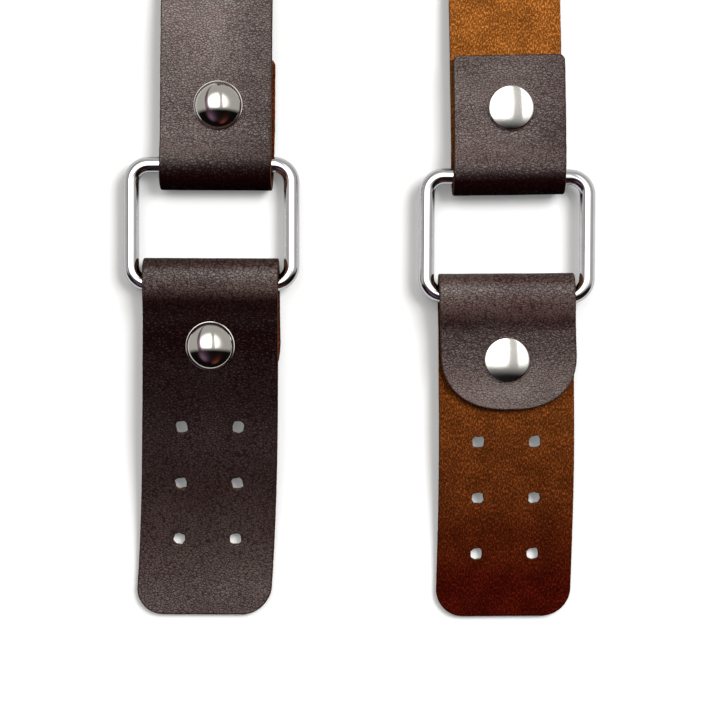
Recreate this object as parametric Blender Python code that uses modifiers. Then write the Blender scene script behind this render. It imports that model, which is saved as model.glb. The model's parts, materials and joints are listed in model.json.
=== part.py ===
"""Y-back leather suspenders, laid on a table and folded over at the shoulders.

Two front straps run up from the front ends, turn over at the fold and meet a yoke. A back strap
runs down from the yoke to the back end. Each of the three ends is a strap folded round a wire
ring and riveted, and a punched tab folded round the ring's other bar and riveted. The left
front strap has a half twist, so its end shows its grain and the right one shows its flesh side.

Metres, +Z up. The table is z = 0, and +Y runs from the front ends to the fold.
"""

import bisect
import math

import bmesh
import bpy
from mathutils import Matrix, Vector

MM = 0.001
UP = Vector((0, 0, 1))

# Leather
LEATHER = 1.8 * MM  # thickness of every leather piece
LAYER_GAP = 0.3 * MM  # between two layers that lie on each other
LAYER_MID = (LEATHER + LAYER_GAP) / 2  # from a folded end's middle plane to each layer's middle
STRAP_WIDTH = 24.9 * MM
TAB_WIDTH = 30.2 * MM
STRAP_LOOP = 2.3 * MM  # inner radius of the strap's turn round the ring
TAB_LOOP = 2.45 * MM
STRAP_CORNER = 1.2 * MM
TAB_TIP_CORNER = 6 * MM
TAB_FLAP_CORNER = 12 * MM
STRAP_FLAP_DRIFT = 0.65 * MM  # a flap lies this far to the side of its own strap
DRIFT_HELD = 0.6  # share of a strap's flap that lies to the side in full
TAB_FLAP_DRIFT = 0.6 * MM
CLOSED_BEFORE_RIVET = 5.8 * MM  # the layers meet this far on the ring's side of a rivet
DROP_LENGTH = 44 * MM  # past its flap a front strap sinks to the table over this length
BACK_DROP_LENGTH = 35 * MM
TAB_DROP_LENGTH = 40 * MM

# Ring
WIRE = 3.5 * MM
RING_INSIDE = (32.3 * MM, 23 * MM)
RING_CORNER = 3.9 * MM  # centreline radius
BAR_PITCH = RING_INSIDE[1] + WIRE

# Rivets, of a dome with a tube and a flat cap with a stem
DOME_RADIUS = 5.5 * MM
DOME_HEIGHT = 3.3 * MM
CROWN = (5.2 * MM, 2.4 * MM)  # radius and rise of the dome's round top
CAP_RADIUS = 5.05 * MM
CAP_HEIGHT = 1.3 * MM
SEAT_GAP = 0.1 * MM
TUBE_RADIUS = 1.45 * MM
TUBE_BORE = 1.05 * MM
STEM_RADIUS = 0.95 * MM
RIVET_HOLE = 1.65 * MM
RIVET_SIDES = 18

# The tab's two columns of three holes
HOLE_RADIUS = 1.5 * MM
HOLE_PITCH = 12.6 * MM
HOLE_ROWS = 3
PUNCH_SIDES = 12
PUNCH_DEPTH = 40 * MM

# Layout on the table
TABLE_MID = LEATHER / 2  # height of a strap's middle where it lies on the table
UPPER_MID = 3.1 * MM  # height of the straps' middle at the yoke, over the lower straps
FOLD_RADIUS = 8.5 * MM
FOLD_TURN = math.radians(192)
SETTLE_RUN = 115 * MM  # the upper strap comes down to UPPER_MID over this run
FOLD_LEAD = 20 * MM
FOLD_RUN_ON = 200 * MM
TWIST_START = 78 * MM  # from the left ring's bar
TWIST_LENGTH = 150 * MM

# Yoke
YOKE_CENTRE_X = 0.8 * MM
FRONT_STRAP_END = (14.5 * MM, 384 * MM)  # from the yoke's middle line, and along Y
BACK_STRAP_END_Y = 376 * MM
YOKE_RIVETS = (9 * MM, 29 * MM)  # from a strap's end
YOKE_TOP_Y = 423 * MM
YOKE_SHOULDER_Y = 378 * MM
YOKE_FOOT_Y = 337 * MM
YOKE_TOP_HALF = 37.5 * MM
YOKE_WAIST_HALF = 21 * MM
YOKE_FOOT_HALF = 16.5 * MM
YOKE_CORNER = 7 * MM

STRAY = 0.05 * MM  # the most that a bent strap's straight sections leave its true curve

ENDS = {
    "left": {
        "side": 1,  # grain up
        "ring": (-33.2 * MM, 30.35 * MM),
        "ring_turn": 0.0,
        "strap": {"shift": 1.0, "lean": 0.4, "slack": 1.6, "flap": 23.8, "rivet": 13.1, "aside": 0.5},
        "tab": {"shift": -0.1, "lean": 0.2, "slack": 1.4, "flap": 25.5, "rivet": 14.0},
        "tab_tip": {"first_row": 32.0, "length": 74.3, "curl": 4.3},
    },
    "right": {
        "side": -1,  # flesh side up
        "ring": (32.75 * MM, 27.6 * MM),
        "ring_turn": -0.5,
        "strap": {"shift": 0.05, "lean": -0.9, "slack": 0.0, "flap": 27.0, "rivet": 15.1, "aside": 0.9},
        "tab": {"shift": -0.1, "lean": -0.4, "slack": 0.7, "flap": 25.5, "rivet": 14.4},
        "tab_tip": {"first_row": 32.6, "length": 71.9, "curl": 2.7},
    },
    "back": {
        "side": 1,
        "ring": (-0.3 * MM, 232 * MM - BAR_PITCH / 2),
        "ring_turn": 0.5,
        "strap": {"shift": 0.2, "lean": 0.45, "slack": 0.9, "flap": 25.0, "rivet": 14.4, "aside": -0.2},
        "tab": {"shift": 0.05, "lean": -0.4, "slack": 0.9, "flap": 25.5, "rivet": 14.3},
        "tab_tip": {"first_row": 32.3, "length": 73.0, "curl": -1.0},
    },
}
# Seen from above: straight or gently curved stretches, as (length, turn to the left in degrees)
FRONT_PLANS = {
    "left": [(41 * MM, 0), (110 * MM, 2.8), (346.6 * MM, 0)],
    "right": [(42 * MM, 0), (110 * MM, -4.3), (345.4 * MM, 0)],
}

LOOKS = {  # colour, roughness, metallic
    "grain_leather": ((0.045, 0.025, 0.02), 0.45, 0.0),
    "polished_nickel": ((0.78, 0.77, 0.74), 0.08, 1.0),
}


# ---------------------------------------------------------------- scene helpers


def clear_scene():
    for obj in list(bpy.data.objects):
        bpy.data.objects.remove(obj)


def collection(name):
    made = bpy.data.collections.new(name)
    bpy.context.scene.collection.children.link(made)
    return made


def principled(name):
    colour, roughness, metallic = LOOKS[name]
    made = bpy.data.materials.new(name)
    made.use_nodes = True
    shader = made.node_tree.nodes["Principled BSDF"]
    shader.inputs["Base Color"].default_value = (*colour, 1)
    shader.inputs["Roughness"].default_value = roughness
    shader.inputs["Metallic"].default_value = metallic
    return made


def add_object(name, data, where, look=None):
    obj = bpy.data.objects.new(name, data)
    where.objects.link(obj)
    if look:
        data.materials.append(look)
    return obj


# ---------------------------------------------------------------- how leather lies


class Profile:
    """A strap's middle line from the side, as (forward, height) points, read by the distance along it."""

    def __init__(self, points):
        self.points = [Vector(p) for p in points]
        steps = [b - a for a, b in zip(self.points, self.points[1:])]
        self.reached = [0.0]
        for step in steps:
            self.reached.append(self.reached[-1] + step.length)
        ways = [math.atan2(steps[0].y, steps[0].x)]
        for step in steps[1:]:
            change = math.atan2(step.y, step.x) - ways[-1]
            ways.append(ways[-1] + math.remainder(change, math.tau))
        inner = [(a + b) / 2 for a, b in zip(ways, ways[1:])]
        self.ways = [ways[0], *inner, ways[-1]]

    def at(self, distance):
        """Forward, height and direction at a distance, going on straight past either end."""
        last = len(self.points) - 2
        i = min(max(bisect.bisect_right(self.reached, distance) - 1, 0), last)
        step = self.points[i + 1] - self.points[i]
        share = (distance - self.reached[i]) / step.length
        point = self.points[i] + step * share
        way = self.ways[i] + (self.ways[i + 1] - self.ways[i]) * min(max(share, 0), 1)
        return point.x, point.y, way

    def distance_to(self, forward):
        """The last distance at which the line passes this forward position."""
        for i in range(len(self.points) - 2, -1, -1):
            a, b = self.points[i].x, self.points[i + 1].x
            if min(a, b) <= forward <= max(a, b):
                return self.reached[i] + (forward - a) / (b - a) * (self.reached[i + 1] - self.reached[i])
        raise ValueError("the profile never gets there")


class Plan:
    """A strap's middle line from above, from a start point: stretches of a length and a turn."""

    def __init__(self, start, heading, stretches):
        self.stretches = []
        point, way, along = Vector(start), heading, 0.0
        for length, turn in stretches:
            bend = math.radians(turn) / length
            self.stretches.append((along, length, point.copy(), way, bend))
            point, way = self.move(point, way, bend, length)
            along += length
        self.end, self.end_way = point, way

    @staticmethod
    def move(point, way, bend, distance):
        """Goes a distance on from a point, turning to the left by bend for each metre."""
        middle_way = way + bend * distance / 2
        if abs(bend * distance) > 1e-9:
            distance = 2 * math.sin(bend * distance / 2) / bend
        gone = Vector((-math.sin(middle_way), math.cos(middle_way))) * distance
        return point + gone, 2 * middle_way - way

    def at(self, forward):
        """The point and its heading, which is to the left of +Y, at a forward distance."""
        found = self.stretches[0]
        for stretch in self.stretches[1:]:
            if forward >= stretch[0]:
                found = stretch
        along, length, point, way, bend = found
        distance = forward - along
        if distance < 0 or distance > length:
            bend = 0.0 if distance < 0 else bend
        return self.move(point, way, bend, distance)


def ease(x):
    """Smooth step from 0 to 1."""
    x = min(max(x, 0.0), 1.0)
    return x * x * (3 - 2 * x)


def slope_points(start, end, count):
    """An S-shaped line between two (forward, height) points, level at both ends."""
    found = []
    for i in range(1, count + 1):
        share = i / count
        forward = start[0] + (end[0] - start[0]) * share
        found.append((forward, start[1] + (end[1] - start[1]) * ease(share)))
    return found


def end_points(side, middle, loop, size, drop_length):
    """Side view of a folded end: flap, turn round the ring's bar, upper layer, and the way down.

    Forward is 0 at the bar. The flap lies under the layer where the grain is up (side 1).
    """
    radius = loop + LEATHER / 2
    slack, flap = size["slack"] * MM, size["flap"] * MM
    closed = size["rivet"] * MM - CLOSED_BEFORE_RIVET
    flap_height, layer_height = middle - side * LAYER_MID, middle + side * LAYER_MID
    points = [(flap, flap_height), (closed, flap_height)]
    points += slope_points(points[-1], (-slack, middle - side * radius), 6)
    for i in range(1, 13):
        turn = math.pi * i / 12
        points.append((-slack - radius * math.sin(turn), middle - side * radius * math.cos(turn)))
    points += slope_points(points[-1], (closed, layer_height), 6)
    points.append((flap + LEATHER, layer_height))
    points += slope_points(points[-1], (flap + LEATHER + drop_length, TABLE_MID), 10)
    return points


def fold_profile():
    """Side view of the shoulder fold: up and over, then down to the upper level, and straight on."""
    points = [(-FOLD_LEAD, TABLE_MID), (0, TABLE_MID)]
    steps = 15
    for i in range(1, steps + 1):
        turn = FOLD_TURN * i / steps
        points.append((FOLD_RADIUS * math.sin(turn), TABLE_MID + FOLD_RADIUS * (1 - math.cos(turn))))
    start = Vector(points[-1])
    way = Vector((math.cos(FOLD_TURN), math.sin(FOLD_TURN)))
    end = Vector((start.x - SETTLE_RUN, UPPER_MID))
    pull = SETTLE_RUN / 2.4
    first, second = start + way * pull, end + Vector((pull, 0))
    steps = 14
    for i in range(1, steps + 1):
        t = i / steps
        u = 1 - t
        points.append(start * u**3 + first * 3 * u * u * t + second * 3 * u * t * t + end * t**3)
    points.append((points[-1][0] - FOLD_RUN_ON, UPPER_MID))
    return Profile(points)


def bends(turn_at, end):
    """Where a line from 0 to end needs sections to follow its bends, from its turn at a distance."""
    found, last, turned = [], 0, turn_at(0)
    for i in range(1, int(end / MM)):
        strays = abs(turn_at(i * MM) - turned) * (i - last) * MM / 8
        if strays > STRAY:
            last = max(i - 1, last + 1)
            turned = turn_at(last * MM)
            found.append(last * MM)
    return found


def rightward(heading):
    return Vector((math.cos(heading), math.sin(heading)))


class Lay:
    """Carries a flat blank to where the leather lies: across, along and through to a place."""

    def __init__(self, side, profile, plan, width, drift, held=0.0, twist=None, sideways=None):
        self.side, self.profile, self.plan = side, profile, plan
        self.width, self.drift, self.held = width, drift, held
        self.twist, self.sideways = twist, sideways
        self.loop_end = self.profile.distance_to(0)

    def place(self, across, along, through):
        forward, height, way = self.profile.at(along)
        across, through = self.side * across, self.side * through
        across += self.drift * (1 - ease((along - self.held) / (self.loop_end - self.held)))
        if self.twist:
            start, length = self.twist
            roll = math.pi * ease((along - start) / length)
            turned = across * math.cos(roll) - through * math.sin(roll)
            through = across * math.sin(roll) + through * math.cos(roll)
            across = turned
            height += self.width / 2 * math.sin(roll)
        point, heading = self.plan.at(forward - math.sin(way) * through)
        point = point + (self.sideways or rightward(heading)) * across
        return Vector((point.x, point.y, height + math.cos(way) * through))

    def cuts(self, end):
        """(along, slant) of each section that the bends need."""

        def turn_at(along):
            forward, _, way = self.profile.at(along)
            roll = math.pi * ease((along - self.twist[0]) / self.twist[1]) if self.twist else 0
            return way + self.plan.at(forward)[1] + roll

        return [(along, 0.0) for along in bends(turn_at, end)]


class FoldedLay(Lay):
    """A front strap's lay: as Lay up to the fold, then round a slanting crease to the yoke."""

    def __init__(self, target, *lay):
        super().__init__(*lay)
        self.fold_start = self.profile.distance_to(self.plan.stretches[-1][0] + self.plan.stretches[-1][1])
        self.fold = fold_profile()
        self.foot, heading = self.plan.end, self.plan.end_way
        self.way = Vector((-math.sin(heading), math.cos(heading)))
        self.right = Vector((self.way.y, -self.way.x))
        self.find_crease(Vector(target))

    def find_crease(self, target):
        """Turns the crease until the strap's middle line ends on the target."""
        low, high = math.radians(-25), math.radians(25)
        for _ in range(60):
            self.set_crease((low + high) / 2)
            offset = target - self.foot
            distance = self.fold.distance_to(offset.dot(self.out)) - self.flat
            miss = offset.dot(self.crease) - distance / self.lean_cos * self.lean_sin
            low, high = (low, self.angle) if miss < 0 else (self.angle, high)
        self.length = self.fold_start + distance / self.lean_cos

    def set_crease(self, angle):
        self.angle = angle
        self.crease = Vector((math.cos(angle), math.sin(angle)))
        self.out = Vector((-self.crease.y, self.crease.x))
        self.lean_cos, self.lean_sin = self.way.dot(self.out), self.way.dot(self.crease)
        self.flat = self.fold.reached[1]

    def place(self, across, along, through):
        past = along - self.fold_start
        if past * self.lean_cos < -10 * MM:
            return super().place(across, along, through)
        # The grain faces down here, so across and through are both turned round.
        across, through = -across, -through
        distance = past * self.lean_cos + across * self.right.dot(self.out)
        forward, height, way = self.fold.at(self.flat + distance)
        side_way = past * self.lean_sin + across * self.right.dot(self.crease)
        point = self.foot + self.out * (forward - math.sin(way) * through) + self.crease * side_way
        return Vector((point.x, point.y, height + math.cos(way) * through))

    def cuts(self, end):
        found = super().cuts(self.fold_start - 12 * MM)
        slant = -self.right.dot(self.out) / self.lean_cos

        def turn_at(distance):
            return self.fold.at(self.flat + distance)[2]

        past = (end - self.fold_start) * self.lean_cos
        for distance in [0.0, *bends(turn_at, past)]:
            found.append((self.fold_start + distance / self.lean_cos, slant))
        return found


# ---------------------------------------------------------------- leather pieces


def blank(width, length, start_corner, end_corner):
    """A flat leather blank: X across, Y along from 0, Z through, with rounded corners."""
    mesh = bmesh.new()
    bmesh.ops.create_cube(mesh, size=1)
    for v in mesh.verts:
        v.co = Vector((v.co.x * width, (v.co.y + 0.5) * length, v.co.z * LEATHER))
    for y, corner in ((0, start_corner), (length, end_corner)):
        corners = [e for e in mesh.edges if all(abs(v.co.y - y) < MM / 10 for v in e.verts)]
        corners = [e for e in corners if abs(e.verts[0].co.z - e.verts[1].co.z) > MM]
        segments = 2 if corner < 2 * MM else 6
        bmesh.ops.bevel(mesh, geom=corners, offset=corner, segments=segments, profile=0.5, affect="EDGES")
    return mesh


def leather(name, where, look, lay, corners, origin):
    """A blank cut into sections and carried to its lay, with its origin at a point."""
    mesh = blank(lay.width, lay.length, *corners)
    for along, slant in lay.cuts(lay.length):
        geometry = [*mesh.verts, *mesh.edges, *mesh.faces]
        bmesh.ops.bisect_plane(mesh, geom=geometry, dist=1e-6, plane_co=(0, along, 0), plane_no=(slant, 1, 0))
    for v in mesh.verts:
        v.co = lay.place(*v.co) - origin
    bmesh.ops.recalc_face_normals(mesh, faces=mesh.faces)
    data = bpy.data.meshes.new(name)
    mesh.to_mesh(data)
    mesh.free()
    obj = add_object(name, data, where, look)
    obj.location = origin
    return obj


def punch(obj, cutters, spots):
    """Cuts upright round holes, given as (x, y, radius), through a leather piece."""
    mesh = bmesh.new()
    for x, y, radius in spots:
        shape = {"cap_ends": True, "segments": PUNCH_SIDES, "radius1": radius, "radius2": radius}
        place = Matrix.Translation((x, y, PUNCH_DEPTH / 4))
        bmesh.ops.create_cone(mesh, depth=PUNCH_DEPTH, matrix=place, **shape)
    data = bpy.data.meshes.new(obj.name + "_punch")
    mesh.to_mesh(data)
    mesh.free()
    cutter = add_object(obj.name + "_punch", data, cutters)
    cutter.hide_render = True
    cutter.display_type = "WIRE"
    cut = obj.modifiers.new("punched", "BOOLEAN")
    cut.object = cutter


# ---------------------------------------------------------------- metal pieces


def turned(name, where, look, profile, location, side):
    """A turned piece from an (radius, height) profile that runs down its outer side."""
    data = bpy.data.meshes.new(name)
    edges = [(i, i + 1) for i in range(len(profile) - 1)]
    data.from_pydata([(r, 0, z) for r, z in profile], edges, [])
    obj = add_object(name, data, where, look)
    obj.location = location
    if side < 0:
        obj.rotation_euler = (0, math.pi, 0)
    turn = obj.modifiers.new("turned", "SCREW")
    turn.steps = turn.render_steps = RIVET_SIDES
    turn.use_merge_vertices = True
    turn.merge_threshold = MM / 100
    turn.use_smooth_shade = True
    return obj


def rivet(name, where, look, x, y, middle, side):
    """A rivet through two layers: its dome lies on the grain side and its flat cap behind."""
    seat = LAYER_MID + LEATHER / 2 + SEAT_GAP
    rim = 0.4 * MM
    reach, rise = CROWN
    ball = (reach**2 + rise**2) / (2 * rise)
    dome = []
    steps = 5
    for i in range(steps + 1):
        turn = math.asin(reach / ball) * i / steps
        dome.append((ball * math.sin(turn), seat + DOME_HEIGHT - ball * (1 - math.cos(turn))))
    dome += [(DOME_RADIUS, seat + rim), (DOME_RADIUS, seat)]
    dome += [(TUBE_RADIUS, seat), (TUBE_RADIUS, -LAYER_MID), (TUBE_BORE, -LAYER_MID)]
    dome += [(TUBE_BORE, LAYER_MID * 1.5), (0, LAYER_MID * 1.5)]
    turned(name + "_dome", where, look, dome, (x, y, middle), side)
    edge = 0.45 * MM
    cap = [(0, LAYER_MID), (STEM_RADIUS, LAYER_MID), (STEM_RADIUS, -seat), (CAP_RADIUS - edge / 2, -seat)]
    cap += [(CAP_RADIUS, -seat - edge), (CAP_RADIUS - edge, -seat - CAP_HEIGHT + edge / 2)]
    cap += [(CAP_RADIUS - 3 * edge, -seat - CAP_HEIGHT), (0, -seat - CAP_HEIGHT)]
    turned(name + "_cap", where, look, cap, (x, y, middle), side)


def ring(name, where, look, bar, turn):
    """A ring of round wire, rounded at its corners, with its origin on the strap's bar."""
    half_x = (RING_INSIDE[0] + WIRE) / 2 - RING_CORNER
    half_y = BAR_PITCH / 2 - RING_CORNER
    data = bpy.data.curves.new(name, "CURVE")
    data.dimensions = "3D"
    data.fill_mode = "FULL"
    data.bevel_depth = WIRE / 2
    data.bevel_resolution = 4
    points = []
    steps = 5
    for corner, (x, y) in enumerate(((1, 1), (-1, 1), (-1, -1), (1, -1))):
        for i in range(steps + 1):
            angle = math.pi / 2 * (corner + i / steps)
            dx, dy = RING_CORNER * math.cos(angle), RING_CORNER * math.sin(angle)
            points.append((x * half_x + dx, y * half_y + dy - BAR_PITCH / 2, 0, 1))
    spline = data.splines.new("POLY")
    spline.points.add(len(points) - 1)
    for slot, point in zip(spline.points, points):
        slot.co = point
    spline.use_cyclic_u = True
    obj = add_object(name, data, where, look)
    obj.location = bar
    obj.rotation_euler = (0, 0, math.radians(turn))
    return obj


# ---------------------------------------------------------------- the assembly


def middle_height(side):
    """Height of an end's middle plane: it rests on its tab's turn, or on its rivets' domes."""
    if side > 0:
        return TAB_LOOP + LEATHER
    return LAYER_MID + LEATHER / 2 + SEAT_GAP + DOME_HEIGHT


def bars(end):
    """The strap's bar and the tab's bar of an end's ring."""
    middle = middle_height(end["side"])
    turn = math.radians(end["ring_turn"])
    half = Vector((-math.sin(turn), math.cos(turn), 0)) * BAR_PITCH / 2
    centre = Vector((*end["ring"], middle))
    return centre + half, centre - half


def beside(bar, shift):
    return bar + Vector((shift * MM, 0, 0))


def tab(name, end, where, cutters, looks):
    """A tab: folded round the ring's lower bar, riveted, with two columns of holes."""
    size, side = end["tab"], end["side"]
    start = beside(bars(end)[1], size["shift"])
    tip = end["tab_tip"]
    points = end_points(side, start.z, TAB_LOOP, size, TAB_DROP_LENGTH)
    points.append((tip["length"] * MM, TABLE_MID))
    profile = Profile(points)
    heading = math.pi - math.radians(size["lean"])
    right = rightward(heading)
    straight = size["flap"] * MM
    plan = Plan(start.xy, heading, [(straight, 0), (tip["length"] * MM - straight, -tip["curl"])])
    lay = Lay(side, profile, plan, TAB_WIDTH, -TAB_FLAP_DRIFT, sideways=right)
    lay.length = profile.reached[-1]
    corners = (TAB_FLAP_CORNER, TAB_TIP_CORNER)
    piece = leather("tab_" + name, where, looks["grain_leather"], lay, corners, start)
    rivet_at = plan.at(size["rivet"] * MM)[0]
    holes = [(*rivet_at, RIVET_HOLE)]
    for row in range(HOLE_ROWS):
        point = plan.at(tip["first_row"] * MM + row * HOLE_PITCH)[0]
        for column in (-0.5, 0.5):
            holes.append((*(point + right * column * HOLE_PITCH), HOLE_RADIUS))
    punch(piece, cutters, holes)
    rivet(f"tab_{name}_rivet", where, looks["polished_nickel"], *rivet_at, start.z, side)


def front_lay(name, end):
    """How a front strap lies, from its ring up to the fold and back to the yoke."""
    size, side = end["strap"], end["side"]
    start = beside(bars(end)[0], size["shift"])
    points = end_points(side, start.z, STRAP_LOOP, size, DROP_LENGTH)
    total = sum(length for length, _ in FRONT_PLANS[name])
    points.append((total + 20 * MM, TABLE_MID))
    profile = Profile(points)
    plan = Plan(start.xy, math.radians(-size["lean"]), FRONT_PLANS[name])
    twist = (profile.distance_to(TWIST_START), TWIST_LENGTH) if side > 0 else None
    across = FRONT_STRAP_END[0] * (-1 if name == "left" else 1)
    target = (YOKE_CENTRE_X + across, FRONT_STRAP_END[1])
    held = size["flap"] * MM * DRIFT_HELD
    return FoldedLay(target, side, profile, plan, STRAP_WIDTH, STRAP_FLAP_DRIFT, held, twist)


def back_lay(end):
    """How the back strap lies, from its ring up to the yoke."""
    size = end["strap"]
    start = beside(bars(end)[0], size["shift"])
    points = end_points(1, start.z, STRAP_LOOP, size, BACK_DROP_LENGTH)
    rise_end = BACK_STRAP_END_Y - YOKE_RIVETS[1] - 2 * CAP_RADIUS - start.y
    points += slope_points(points[-1], (rise_end, UPPER_MID), 8)
    points.append((BACK_STRAP_END_Y - start.y, UPPER_MID))
    profile = Profile(points)
    plan = Plan(start.xy, math.radians(-size["lean"]), [(points[-1][0], 0)])
    lay = Lay(1, profile, plan, STRAP_WIDTH, STRAP_FLAP_DRIFT, size["flap"] * MM * DRIFT_HELD)
    lay.length = profile.reached[-1]
    return lay


def strap(name, end, lay, where, cutters, looks):
    """A strap: folded round the ring's upper bar and riveted, and riveted to the yoke."""
    start = beside(bars(end)[0], end["strap"]["shift"])
    corners = (STRAP_CORNER, STRAP_CORNER)
    piece = leather("strap_" + name, where, looks["grain_leather"], lay, corners, start)
    rivet_at, heading = lay.plan.at(end["strap"]["rivet"] * MM)
    rivet_at += rightward(heading) * end["strap"]["aside"] * MM
    at_yoke = [lay.place(0, lay.length - back, 0).xy for back in YOKE_RIVETS]
    punch(piece, cutters, [(*spot, RIVET_HOLE) for spot in (rivet_at, *at_yoke)])
    metal = looks["polished_nickel"]
    rivet(f"strap_{name}_rivet", where, metal, *rivet_at, start.z, end["side"])
    for label, spot in zip(("lower", "upper") if name != "back" else ("upper", "lower"), at_yoke):
        rivet(f"yoke_{name}_{label}_rivet", where, metal, *spot, UPPER_MID + LAYER_MID, 1)
    return at_yoke


def rounded(corners, radius, steps=4):
    """A closed outline with each corner cut by an arc, drawn as a quadratic curve."""
    found = []
    for i, corner in enumerate(corners):
        corner = Vector(corner)
        before = (Vector(corners[i - 1]) - corner).normalized() * radius
        after = (Vector(corners[(i + 1) % len(corners)]) - corner).normalized() * radius
        for step in range(steps + 1):
            t = step / steps
            found.append(corner + before * (1 - t) ** 2 + after * t * t)
    return found


def yoke(where, cutters, looks, spots):
    """The leather yoke over the three straps' ends."""
    half = [(YOKE_TOP_HALF, YOKE_TOP_Y), (YOKE_WAIST_HALF, YOKE_SHOULDER_Y), (YOKE_FOOT_HALF, YOKE_FOOT_Y)]
    notch = (0, YOKE_TOP_Y - YOKE_CORNER)
    outline = [notch, *[(-x, y) for x, y in half], *[(x, y) for x, y in reversed(half)]]
    points = rounded(outline, YOKE_CORNER)
    data = bpy.data.curves.new("yoke_outline", "CURVE")
    data.dimensions = "2D"
    data.fill_mode = "BOTH"
    data.extrude = LEATHER / 2
    spline = data.splines.new("POLY")
    spline.points.add(len(points) - 1)
    for slot, point in zip(spline.points, points):
        slot.co = (point.x, point.y - YOKE_SHOULDER_Y, 0, 1)
    spline.use_cyclic_u = True
    outline_object = add_object("yoke_outline", data, where)
    graph = bpy.context.evaluated_depsgraph_get()
    flat = bpy.data.meshes.new_from_object(outline_object.evaluated_get(graph))
    bpy.data.objects.remove(outline_object)
    mesh = bmesh.new()
    mesh.from_mesh(flat)
    bmesh.ops.remove_doubles(mesh, verts=mesh.verts, dist=MM / 1000)
    bmesh.ops.recalc_face_normals(mesh, faces=mesh.faces)
    mesh.to_mesh(flat)
    mesh.free()
    flat.name = "yoke"
    piece = add_object("yoke", flat, where, looks["grain_leather"])
    piece.location = (YOKE_CENTRE_X, YOKE_SHOULDER_Y, UPPER_MID + 2 * LAYER_MID)
    punch(piece, cutters, [(*spot, RIVET_HOLE) for spot in spots])


def centre_on_origin(parts, cutters):
    """Parents everything to an empty and moves that until the base's middle is the origin."""
    bpy.context.view_layer.update()
    graph = bpy.context.evaluated_depsgraph_get()
    corners = []
    for obj in parts.objects:
        evaluated = obj.evaluated_get(graph)
        corners += [evaluated.matrix_world @ v.co for v in evaluated.to_mesh().vertices]
        evaluated.to_mesh_clear()
    low = Vector(min(c[k] for c in corners) for k in range(3))
    high = Vector(max(c[k] for c in corners) for k in range(3))
    table = bpy.data.objects.new("suspenders_origin", None)
    for obj in [*parts.objects, *cutters.objects]:
        obj.parent = table
    parts.objects.link(table)
    table.location = (-(low.x + high.x) / 2, -(low.y + high.y) / 2, -low.z)


def main():
    clear_scene()
    parts, cutters = collection("suspenders"), collection("cutters")
    looks = {name: principled(name) for name in LOOKS}
    yoke_spots = []
    for name, end in ENDS.items():
        lay = back_lay(end) if name == "back" else front_lay(name, end)
        yoke_spots += strap(name, end, lay, parts, cutters, looks)
        ring("ring_" + name, parts, looks["polished_nickel"], bars(end)[0], end["ring_turn"])
        tab(name, end, parts, cutters, looks)
    yoke(parts, cutters, looks, yoke_spots)
    centre_on_origin(parts, cutters)


main()
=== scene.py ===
"""Leather Y-back suspenders laid out on a pale table.

Three ends (left and right in front, and the back one) are each a strap folded and riveted round a
wire ring, and a punched tab folded and riveted round the ring's other bar. A yoke joins the straps.
Every leather piece is a flat blank, worked out as a grid and carried to where the leather lies.
"""

from __future__ import annotations

import json
import logging
import math
from collections.abc import Callable
from dataclasses import dataclass, field
from enum import Enum

import bpy
import numpy as np
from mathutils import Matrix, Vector


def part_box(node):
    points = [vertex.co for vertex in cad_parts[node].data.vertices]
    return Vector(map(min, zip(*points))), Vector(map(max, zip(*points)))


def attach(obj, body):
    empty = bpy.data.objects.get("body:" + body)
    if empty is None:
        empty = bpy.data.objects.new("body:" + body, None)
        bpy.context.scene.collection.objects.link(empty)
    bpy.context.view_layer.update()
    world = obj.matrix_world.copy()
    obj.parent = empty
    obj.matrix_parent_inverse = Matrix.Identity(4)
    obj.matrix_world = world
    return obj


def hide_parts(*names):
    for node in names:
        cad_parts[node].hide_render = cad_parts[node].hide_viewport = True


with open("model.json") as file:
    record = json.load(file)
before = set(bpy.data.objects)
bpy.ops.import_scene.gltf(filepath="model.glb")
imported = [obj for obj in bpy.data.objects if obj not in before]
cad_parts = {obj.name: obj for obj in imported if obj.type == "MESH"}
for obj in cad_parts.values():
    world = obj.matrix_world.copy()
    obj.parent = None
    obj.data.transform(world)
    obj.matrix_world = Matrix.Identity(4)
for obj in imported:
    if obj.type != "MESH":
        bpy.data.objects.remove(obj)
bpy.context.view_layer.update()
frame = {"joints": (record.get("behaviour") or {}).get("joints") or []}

log = logging.getLogger("suspenders")

MM = 0.001
LEATHER = 1.8 * MM
LAYER_GAP = 0.3 * MM
LAYER_MID = (LEATHER + LAYER_GAP) / 2
TABLE_MID = LEATHER / 2
SKIN_INSET = 0.3 * MM  # the flat faces of a blank stop this far inside its cut edge
UV_UNIT = 10 * MM  # one step of a leather piece's UV map
TIGHT_BEND = 300.0  # radians a metre, at which leather counts as fully folded
JOINTS = {joint["name"]: joint for joint in frame["joints"]}

Array = np.ndarray
Stops = tuple[tuple[float, float], ...]  # millimetres from a bar, and a value there
Material = bpy.types.Material
Object = bpy.types.Object
Nodes = bpy.types.NodeTree
Socket = bpy.types.NodeSocket
Colour = tuple[float, float, float]


class Side(Enum):
    """Which side of the leather an end shows."""

    GRAIN_UP = 1
    FLESH_UP = -1


class Slot(Enum):
    """Material slots of a leather piece, in order."""

    GRAIN = 0
    FLESH = 1
    EDGE = 2


# ---------------------------------------------------------------- numbers and noise


def ease(x: Array | float) -> Array:
    """Smooth step from 0 to 1: 3x^2 - 2x^3 on the clipped x.

    Args:
        x: Where to read the step.

    Returns:
        The step's value, from 0 to 1.
    """
    x = np.clip(x, 0.0, 1.0)
    return x * x * (3 - 2 * x)


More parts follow.
